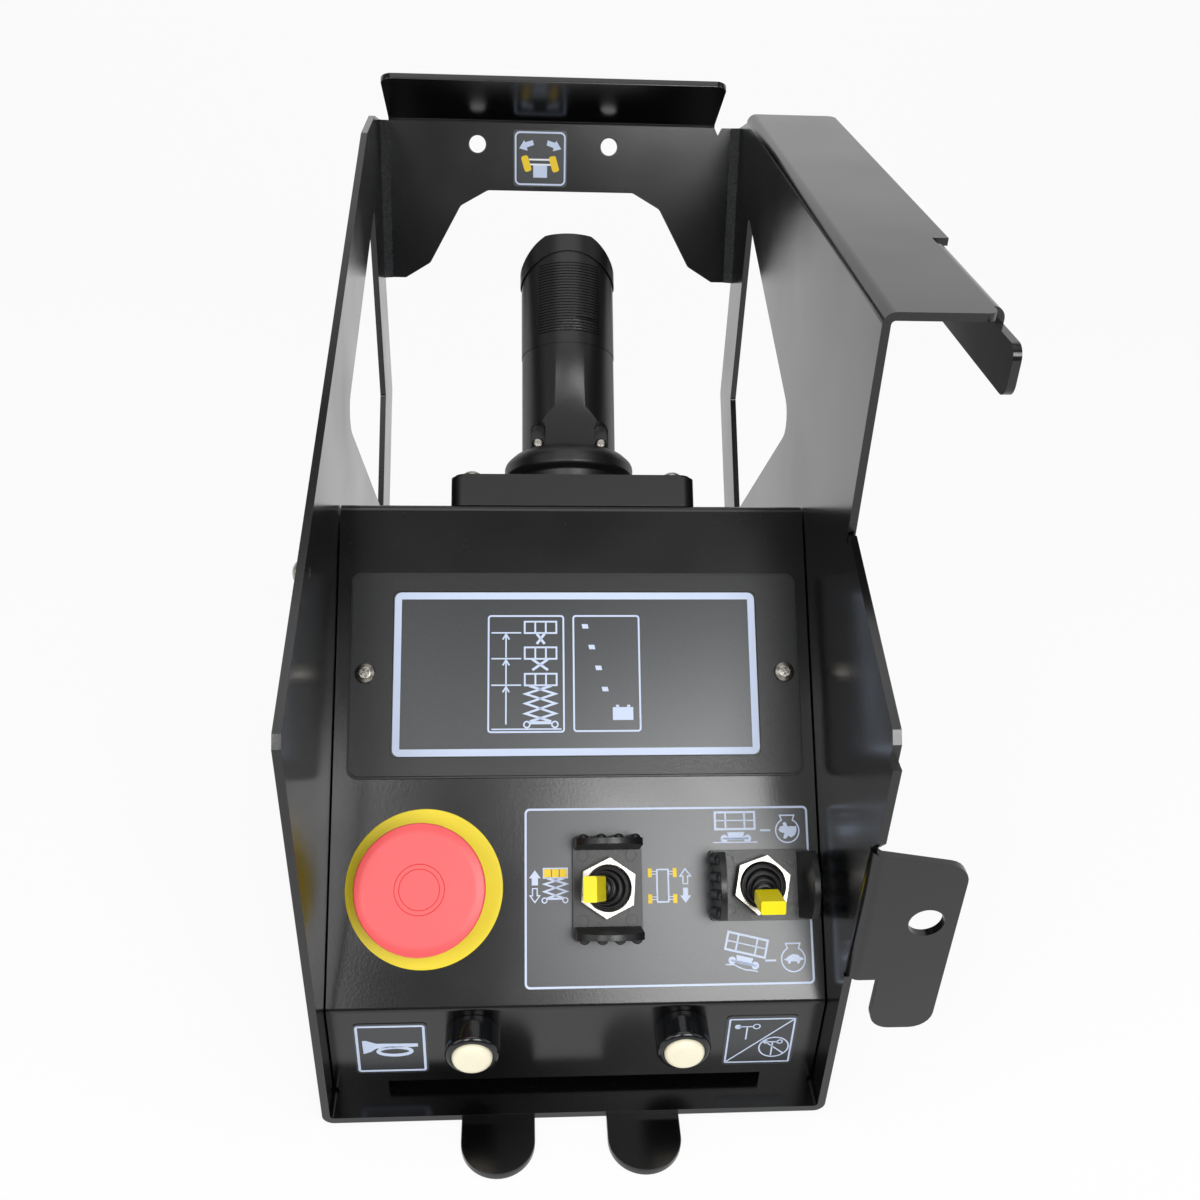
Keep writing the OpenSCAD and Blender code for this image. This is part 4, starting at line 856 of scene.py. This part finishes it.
class CONTROLBOX_OT_guard(bpy.types.Operator):
    """Joins the guard's folded sheet into one coated piece, and softens crossbar and bracket"""

    bl_idname = "controlbox.guard"
    bl_label = "Guard"

    def execute(self, context):
        sizes = context.scene.controlbox_sizes
        nodes = ["right_side_plate", "left_side_plate", "bottom_plate", "rail_hook", "lock_tab"]
        shapes = [copy_of(node) for node in nodes]
        shape = flattened(combined(shapes[0], shapes[1:], "UNION"))
        round_edges(shape, sizes.sheet_edge)
        finish_piece(shape, "folded_guard", "coat", "box", nodes)
        for node in ("rear_crossbar", "mounting_bracket"):
            refined(node, sizes.sheet_edge)
        return {"FINISHED"}


class CONTROLBOX_OT_welds(bpy.types.Operator):
    """Lays lumpy weld beads along the crossbar's ends"""

    bl_idname = "controlbox.welds"
    bl_label = "Weld beads"

    def execute(self, context):
        shape = copy_of("weld_beads")
        long_edges = [e for e in shape.edges if e.calc_length() > 20 * MM]
        bmesh.ops.subdivide_edges(shape, edges=long_edges, cuts=90, use_grid_fill=True)
        low, high = extent("weld_beads", BAR)
        back = BAR.inverted()
        for v in shape.verts:
            on_bar = back @ v.co / MM
            ripple = 0.5 + 0.5 * math.sin(on_bar.y * 2.4)
            lump = noise.noise(v.co / (2.2 * MM))
            depth = 0.35 * ripple + 0.5 * max(0, lump)
            corner = Vector((math.copysign(high.x, on_bar.x), on_bar.y, low.z))
            inward = (corner - on_bar).normalized()
            v.co = BAR @ ((on_bar + inward * depth) * MM)
        nodes = ["weld_beads"]
        finish_piece(shape, "coated_weld_beads", "weld", "box", nodes, sharp=80)
        return {"FINISHED"}


class CONTROLBOX_OT_enclosure(bpy.types.Operator):
    """Softens the enclosure's folded edges, its cover and its gland"""

    bl_idname = "controlbox.enclosure"
    bl_label = "Enclosure"

    def execute(self, context):
        sizes = context.scene.controlbox_sizes
        refined("enclosure_shell", sizes.sheet_edge * 0.6)
        refined("rear_cover", sizes.sheet_edge * 0.6)
        refined("cable_gland", sizes.moulded_edge)
        return {"FINISHED"}


class CONTROLBOX_OT_display(bpy.types.Operator):
    """Finishes the display's bezel and prints what its label shows"""

    bl_idname = "controlbox.display"
    bl_label = "Display"

    def execute(self, context):
        sizes = context.scene.controlbox_sizes
        refined("display_bezel", sizes.moulded_edge, 3)
        top = extent("display_label", PANEL)[1].z
        print_symbols(display_symbols, "display_print", PANEL, top, "pale_ink", sizes.ink_t)
        print_symbols(display_border, "display_border_print", PANEL, top, "pale_ink", sizes.ink_t)
        return {"FINISHED"}


class CONTROLBOX_OT_labels(bpy.types.Operator):
    """Prints the symbols of the control label, the button labels and the steering label"""

    bl_idname = "controlbox.labels"
    bl_label = "Labels"

    def execute(self, context):
        ink_t = context.scene.controlbox_sizes.ink_t
        top = extent("control_label", PANEL)[1].z
        for draw, name, on, raised, ink in (
            (control_symbols, "control_print", PANEL, 0, "pale_ink"),
            (control_yellow, "control_yellow_print", PANEL, 0, "yellow_ink"),
            (horn_symbols, "horn_print", LOWER_FACE, 0, "pale_ink"),
            (function_symbols, "function_print", LOWER_FACE, 0, "pale_ink"),
            (steering_symbols, "steering_print", BAR, 0, "pale_ink"),
            (steering_chassis, "steering_chassis_print", BAR, 0.02, "white_ink"),
            (steering_wheels, "steering_wheel_print", BAR, 0.04, "yellow_ink"),
        ):
            print_symbols(draw, name, on, top + raised, ink, ink_t)
        return {"FINISHED"}


class CONTROLBOX_OT_emergency_stop(bpy.types.Operator):
    """Turns the mushroom head with its rings, the disc and the collar"""

    bl_idname = "controlbox.emergency_stop"
    bl_label = "Emergency stop"

    def execute(self, context):
        sizes = context.scene.controlbox_sizes
        low, high = extent("estop_mushroom", PANEL)
        centre = (low + high) / 2
        radius = (high.x - low.x) / 2
        top, foot = high.z, low.z
        groove_w, groove_d = 0.16, 0.35
        grooves = []
        for ring in (7.35, 9.1):
            inner, outer = ring - groove_w, ring + groove_w
            grooves += [(inner, top, 0), (ring, top - groove_d, 0), (outer, top, 0)]
        hub_r, stem_r, hub_h, stem_h = 9, 6.1, foot + 0.75, foot + 9
        shape = turned(
            [
                (0, top, 0), *grooves, (radius - 3, top - 0.1, 12), (radius - 0.1, top - 0.7, 0.8),
                (radius, top - 3, 1), (radius - 0.6, foot + 6, 3), (17, foot, 0.4),
                (15.5, foot, 0.4), (15.5, foot + 2, 0), (hub_r, foot + 2, 0), (hub_r, hub_h, 0),
                (stem_r, hub_h, 0), (stem_r, stem_h, 0), (0, stem_h, 0),
            ],
            sizes.lathe_steps,
        )
        place(shape, on_face(PANEL, centre.x, centre.y, 0))
        nodes = ["estop_mushroom"]
        finish_piece(shape, "mushroom_head", "stop_red", "estop_head", nodes)
        refined("estop_disc", sizes.disc_edge)
        refined("estop_collar", sizes.fine_edge)
        return {"FINISHED"}


def toggle_face(at, turn):
    """The face of a toggle switch: its guard's middle, with the throw along X."""
    return on_face(PANEL, *at, 0.3) @ Matrix.Rotation(turn, 4, "Z")


def flexed_boot(steps):
    """A toggle's rubber boot, with rings that lean towards the thrown lever."""
    seat, rim, neck = 4.9, 8.65, 2.35
    stiff_h, flexed_h = 1.5, 5.5
    shape = turned(
        [
            (neck, seat + 1, 0), (rim - 1, seat, 0), (rim, seat, 0.3), (rim, 8.6, 0.4),
            (7.7, 8.9, 0.3), (7.5, 8.3, 0.3), (6.9, 8.3, 0.3), (6.8, 9.5, 0.5), (5.8, 9.9, 0.4),
            (5.6, 9.3, 0.3), (5.1, 9.3, 0.3), (4.9, 10.5, 0.4), (4.1, 10.9, 0.4), (3.9, 10.4, 0.2),
            (3.5, 11.4, 0.3), (neck, 12.0, 0.2), (neck, seat + 1, 0),
        ],
        steps, 4,
    )
    for v in shape.verts:
        share = min(1, max(0, (v.co.z / MM - seat - stiff_h) / flexed_h))
        eased = share * share * (3 - 2 * share)
        pivot = Vector((0, 0, TOGGLE_PIVOT_H * MM))
        v.co = pivot + Matrix.Rotation(-TOGGLE_THROW * eased, 3, "Y") @ (v.co - pivot)
    return shape


class CONTROLBOX_OT_toggles(bpy.types.Operator):
    """Finishes both toggle switches: guard, nut, rubber boot and lever cap"""

    bl_idname = "controlbox.toggles"
    bl_label = "Toggle switches"

    def execute(self, context):
        sizes = context.scene.controlbox_sizes
        for name, (at, turn, body) in TOGGLES.items():
            on = toggle_face(at, turn)
            node = f"{name}_toggle_"
            refined(node + "guard", sizes.guard_edge)
            refined(node + "nut", sizes.fine_edge)
            refined(node + "cap", sizes.moulded_edge, 3)
            shape = place(flexed_boot(sizes.lathe_steps // 2), on)
            nodes = [node + "boot"]
            boot = finish_piece(shape, node + "rubber_boot", "rubber", None, nodes)
            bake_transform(boot)
            self.mark_guard(node + "guard_mould_marks", on)
        return {"FINISHED"}

    def mark_guard(self, name, on):
        """The small rings that the ejector pins leave in the corners of a guard's base."""
        inner, outer, foot, top = 1.9, 2.4, -0.2, 0.12
        ring = [(inner, foot, 0), (inner, top, 0.05), (outer, top, 0.05), (outer, foot, 0)]
        marks = bmesh.new()
        for x in (-9.3, 9.3):
            for y in (-12.2, 12.2):
                corner = Matrix.Translation((x * MM, y * MM, 3 * MM))
                add_to(marks, place(turned(ring, 32), corner))
        finish_piece(place(marks, on), name, "textured", "box")


class CONTROLBOX_OT_push_buttons(bpy.types.Operator):
    """Finishes the horn button and the function button"""

    bl_idname = "controlbox.push_buttons"
    bl_label = "Push-buttons"

    def execute(self, context):
        refined("button_bezels", context.scene.controlbox_sizes.fine_edge)
        refined("horn_button_cap", 0)
        refined("function_button_cap", 0)
        return {"FINISHED"}


class CONTROLBOX_OT_joystick(bpy.types.Operator):
    """Finishes the joystick: base, boot, grip, cap, rocker and trigger"""

    bl_idname = "controlbox.joystick"
    bl_label = "Joystick"

    def execute(self, context):
        sizes = context.scene.controlbox_sizes
        refined("joystick_base", sizes.base_edge, 3)
        refined("grip_lower", sizes.fine_edge)
        refined("enable_trigger", sizes.fine_edge)
        self.make_cap(sizes)
        self.make_rocker(sizes)
        self.make_pin()
        self.make_boot(sizes)
        return {"FINISHED"}

    def make_pin(self):
        """The pin across the grip that the trigger hangs on."""
        r, half = 1.5, 13.4
        pin = turned([(0, -half, 0), (r, -half, 0.3), (r, half, 0.3), (0, half, 0)], 32)
        place(pin, on_face(STICK, 0, 16, 118) @ Matrix.Rotation(math.radians(90), 4, "Y"))
        finish_piece(pin, "trigger_pin", "steel", "joystick", ["grip_pins"])

    def make_boot(self, sizes):
        """The joystick's rubber boot, hollow, from its flange on the base up to the shaft."""
        shape = turned(
            [
                (24, 14.05, 0), (30, 14.05, 0), (30, 16.4, 1.1), (26.6, 17.2, 1), (25.4, 19.5, 1.2),
                (26, 23, 1.5), (28.6, 25, 2.4), (28.9, 30.5, 4), (25, 34.4, 3.2), (19, 35.4, 2),
                (9.2, 35.7, 0), (9.2, 33.4, 0), (19, 33, 2), (24, 31, 2), (26, 28, 2), (24, 24, 2),
                (23, 19, 2), (24, 14.05, 0),
            ],
            sizes.lathe_steps,
        )
        nodes = ["joystick_boot"]
        place(shape, STICK)
        boot = finish_piece(shape, "joystick_rubber_boot", "rubber", None, nodes)
        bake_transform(boot)

    def make_cap(self, sizes):
        """The grip's crowned cap over the sleeve's round shoulder, with a mouth for the rocker."""
        steps = sizes.lathe_steps
        foot, top, radius = 118.3, 135.2, 21.8
        crown_r, flat_half, sleeve_r, sleeve_top = 25.5, 10.4, 31.6, 127
        crown_h = top - math.sqrt(crown_r ** 2 - flat_half ** 2)
        mouth_x, mouth_y = 9.4, 12.4

        def lying(r, height, half):
            """A round bar along the grip's front and back."""
            bar = turned([(0, -half, 0), (r, -half, 0), (r, half, 0), (0, half, 0)], steps)
            along = Matrix.Rotation(math.radians(90), 4, "X")
            return place(bar, Matrix.Translation((0, 0, height * MM)) @ along)

        blank = turned([(0, foot, 0), (radius, foot, 0), (radius, top, 0), (0, top, 0)], steps)
        crowned = combined(blank, [lying(crown_r, crown_h, 25)], "INTERSECT")
        mouth = block((-mouth_x, -mouth_y, 120), (mouth_x, mouth_y, 140))
        cap = cut_away(crowned, [lying(sleeve_r, sleeve_top - sleeve_r, 30), mouth])
        round_edges(cap, sizes.cap_edge, 2, 24)
        place(cap, STICK)
        finish_piece(cap, "grip_cap_crowned", "grip", "joystick", ["grip_cap"])

    def make_rocker(self, sizes):
        """The thumb rocker in the cap's mouth, dished along its middle."""
        half_x, half_y, foot, top, dish = 6.6, 11.8, 130.4, 134.6, 0.9
        rocker = block((-half_x, -half_y, foot), (half_x, half_y, top))
        wide = [e for e in rocker.edges if abs(e.verts[0].co.x - e.verts[1].co.x) > half_x * MM]
        bmesh.ops.subdivide_edges(rocker, edges=wide, cuts=8)
        for v in rocker.verts:
            v.co.z -= dish * MM * (1 - abs(v.co.x) / (half_x * MM)) ** 2
        round_edges(rocker, sizes.rocker_edge, 3)
        place(rocker, STICK)
        nodes = ["steer_rocker"]
        finish_piece(rocker, "thumb_rocker", "gloss", "steer_rocker", nodes)


class CONTROLBOX_OT_screws(bpy.types.Operator):
    """Puts pan-head screws with a cross recess in place of the plain ones"""

    bl_idname = "controlbox.screws"
    bl_label = "Screws"

    def execute(self, context):
        low, high = extent("bezel_screws", PANEL)
        v, seat = (low.y + high.y) / 2, high.z - HEAD_H
        heads = [(on_face(PANEL, x, v, seat), 5) for x in (low.x + HEAD_R, high.x - HEAD_R)]
        screw_set("bezel_screws", heads)
        low, high = extent("joystick_base_screws", STICK)
        seat = high.z - HEAD_H
        screw_set("joystick_base_screws", [
            (on_face(STICK, x, y, seat), 16)
            for x in (low.x + HEAD_R, high.x - HEAD_R)
            for y in (low.y + HEAD_R, high.y - HEAD_R)
        ])
        outward = Matrix.Rotation(math.radians(-90), 4, "Y")
        low, high = [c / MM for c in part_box("side_screw")]
        seat = Vector((-SIDE_PLATE_X, (low.y + high.y) / 2, (low.z + high.z) / 2))
        screw_set("side_screw", [(Matrix.Translation(seat * MM) @ outward, 3)])
        return {"FINISHED"}


class CONTROLBOX_OT_studio(bpy.types.Operator):
    """Sets the pale floor, the softboxes and the camera of the photograph"""

    bl_idname = "controlbox.studio"
    bl_label = "Studio"

    def execute(self, context):
        studio = context.scene.controlbox_studio
        context.scene.view_settings.view_transform = "Standard"
        self.lay_sweep()
        for name, (at, width, height) in SOFTBOXES.items():
            self.hang_softbox(name + "_softbox", at, width, height, getattr(studio, name))
        world = bpy.data.worlds.new("studio_room")
        world.use_nodes = True
        background = world.node_tree.nodes["Background"]
        background.inputs["Color"].default_value = (0.95, 0.97, 1.0, 1)
        background.inputs["Strength"].default_value = studio.room
        context.scene.world = world
        self.place_camera(context)
        return {"FINISHED"}

    def lay_sweep(self):
        """A white paper sweep: floor, curve and back wall behind the box."""
        reach, rise, bend, half_width = 1.6, 2.4, 0.6, 3
        shape = bmesh.new()
        profile = rounded_line([(-reach, 0, 0), (reach, 0, bend), (reach, rise, 0)], 16)
        line = [shape.verts.new((-half_width, p.x, p.y)) for p in profile]
        edges = [shape.edges.new(pair) for pair in zip(line, line[1:])]
        grown = bmesh.ops.extrude_edge_only(shape, edges=edges)
        moved = [v for v in grown["geom"] if isinstance(v, bmesh.types.BMVert)]
        bmesh.ops.translate(shape, verts=moved, vec=(2 * half_width, 0, 0))
        bmesh.ops.recalc_face_normals(shape, faces=shape.faces[:])
        sweep = object_of(shape, "paper_sweep")
        sweep.data.shade_smooth()
        sweep.data.materials.append(self.white_paper())

    def white_paper(self):
        """Paper that takes shadows, and that is seen and mirrored nearly as bright as white."""
        glow_share = 0.9
        material = bpy.data.materials.new("white_paper")
        material.use_nodes = True
        tree = material.node_tree
        tree.nodes.clear()
        paper = add_node(tree, "ShaderNodeBsdfDiffuse", {}, {"Color": (0.92, 0.92, 0.92, 1)})
        glow = add_node(tree, "ShaderNodeEmission", {}, {"Color": (1, 1, 1, 1), "Strength": 1.0})
        rays = add_node(tree, "ShaderNodeLightPath", {}, {}).outputs
        seen = rays["Is Camera Ray"]
        for ray in ("Is Glossy Ray", "Is Transmission Ray"):
            inputs = {0: seen, 1: rays[ray]}
            either = add_node(tree, "ShaderNodeMath", {"operation": "MAXIMUM"}, inputs)
            seen = either.outputs[0]
        inputs = {0: seen, 1: glow_share}
        share = add_node(tree, "ShaderNodeMath", {"operation": "MULTIPLY"}, inputs).outputs[0]
        inputs = {0: share, 1: paper.outputs[0], 2: glow.outputs[0]}
        mixed = add_node(tree, "ShaderNodeMixShader", {}, inputs).outputs[0]
        add_node(tree, "ShaderNodeOutputMaterial", {}, {"Surface": mixed})
        return material

    def hang_softbox(self, name, at, width, height, power):
        lamp = bpy.data.lights.new(name, "AREA")
        lamp.shape = "RECTANGLE"
        lamp.size = width
        lamp.size_y = height
        lamp.energy = power
        holder = bpy.data.objects.new(name, lamp)
        holder.location = at
        way = Vector(LIT_MIDDLE) - Vector(at)
        holder.rotation_euler = way.to_track_quat("-Z", "Y").to_euler()
        bpy.context.scene.collection.objects.link(holder)

    def place_camera(self, context):
        """The camera of the photograph."""
        pitch, yaw, roll = (math.radians(a) for a in CAMERA_TURNS)
        level = math.cos(pitch)
        forward = Vector((math.sin(yaw) * level, math.cos(yaw) * level, -math.sin(pitch)))
        right = Vector((math.cos(yaw), -math.sin(yaw), 0))
        down = forward.cross(right)
        right_rolled = math.cos(roll) * right - math.sin(roll) * down
        down_rolled = math.sin(roll) * right + math.cos(roll) * down
        lens = bpy.data.cameras.new("photo_camera")
        lens.sensor_width = CAMERA_SENSOR
        lens.lens = CAMERA_LENS
        lens.clip_start = 0.02
        lens.clip_end = 20
        camera = bpy.data.objects.new("photo_camera", lens)
        axes = Matrix((right_rolled, -down_rolled, -forward)).transposed().to_4x4()
        camera.matrix_world = Matrix.Translation(Vector(CAMERA_AT) * MM) @ axes
        context.scene.collection.objects.link(camera)
        context.scene.camera = camera


class CONTROLBOX_PT_panel(bpy.types.Panel):
    """Holds the control box's settings and a button for each group of pieces"""

    bl_idname = "CONTROLBOX_PT_panel"
    bl_label = "Control Box"
    bl_space_type = "VIEW_3D"
    bl_region_type = "UI"
    bl_category = "Control Box"

    def draw(self, context):
        for group in ("controlbox_colours", "controlbox_sizes", "controlbox_studio"):
            settings = getattr(context.scene, group)
            for name in settings.bl_rna.properties.keys():
                if name not in ("rna_type", "name"):
                    self.layout.prop(settings, name)
        for operator in OPERATORS:
            self.layout.operator(operator.bl_idname)


GROUPS = {
    "controlbox_colours": ControlBoxColours,
    "controlbox_sizes": ControlBoxSizes,
    "controlbox_studio": ControlBoxStudio,
}
OPERATORS = (
    CONTROLBOX_OT_finishes,
    CONTROLBOX_OT_guard,
    CONTROLBOX_OT_welds,
    CONTROLBOX_OT_enclosure,
    CONTROLBOX_OT_display,
    CONTROLBOX_OT_labels,
    CONTROLBOX_OT_emergency_stop,
    CONTROLBOX_OT_toggles,
    CONTROLBOX_OT_push_buttons,
    CONTROLBOX_OT_joystick,
    CONTROLBOX_OT_screws,
    CONTROLBOX_OT_studio,
)


def register():
    for name, group in GROUPS.items():
        bpy.utils.register_class(group)
        setattr(bpy.types.Scene, name, PointerProperty(type=group))
    for cls in (*OPERATORS, CONTROLBOX_PT_panel):
        bpy.utils.register_class(cls)


def unregister():
    for cls in (CONTROLBOX_PT_panel, *reversed(OPERATORS)):
        bpy.utils.unregister_class(cls)
    for name, group in reversed(GROUPS.items()):
        delattr(bpy.types.Scene, name)
        bpy.utils.unregister_class(group)


def main():
    register()
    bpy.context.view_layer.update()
    for operator in OPERATORS:
        _, name = operator.bl_idname.split(".")
        getattr(bpy.ops.controlbox, name)()


if __name__ == "__main__":
    main()
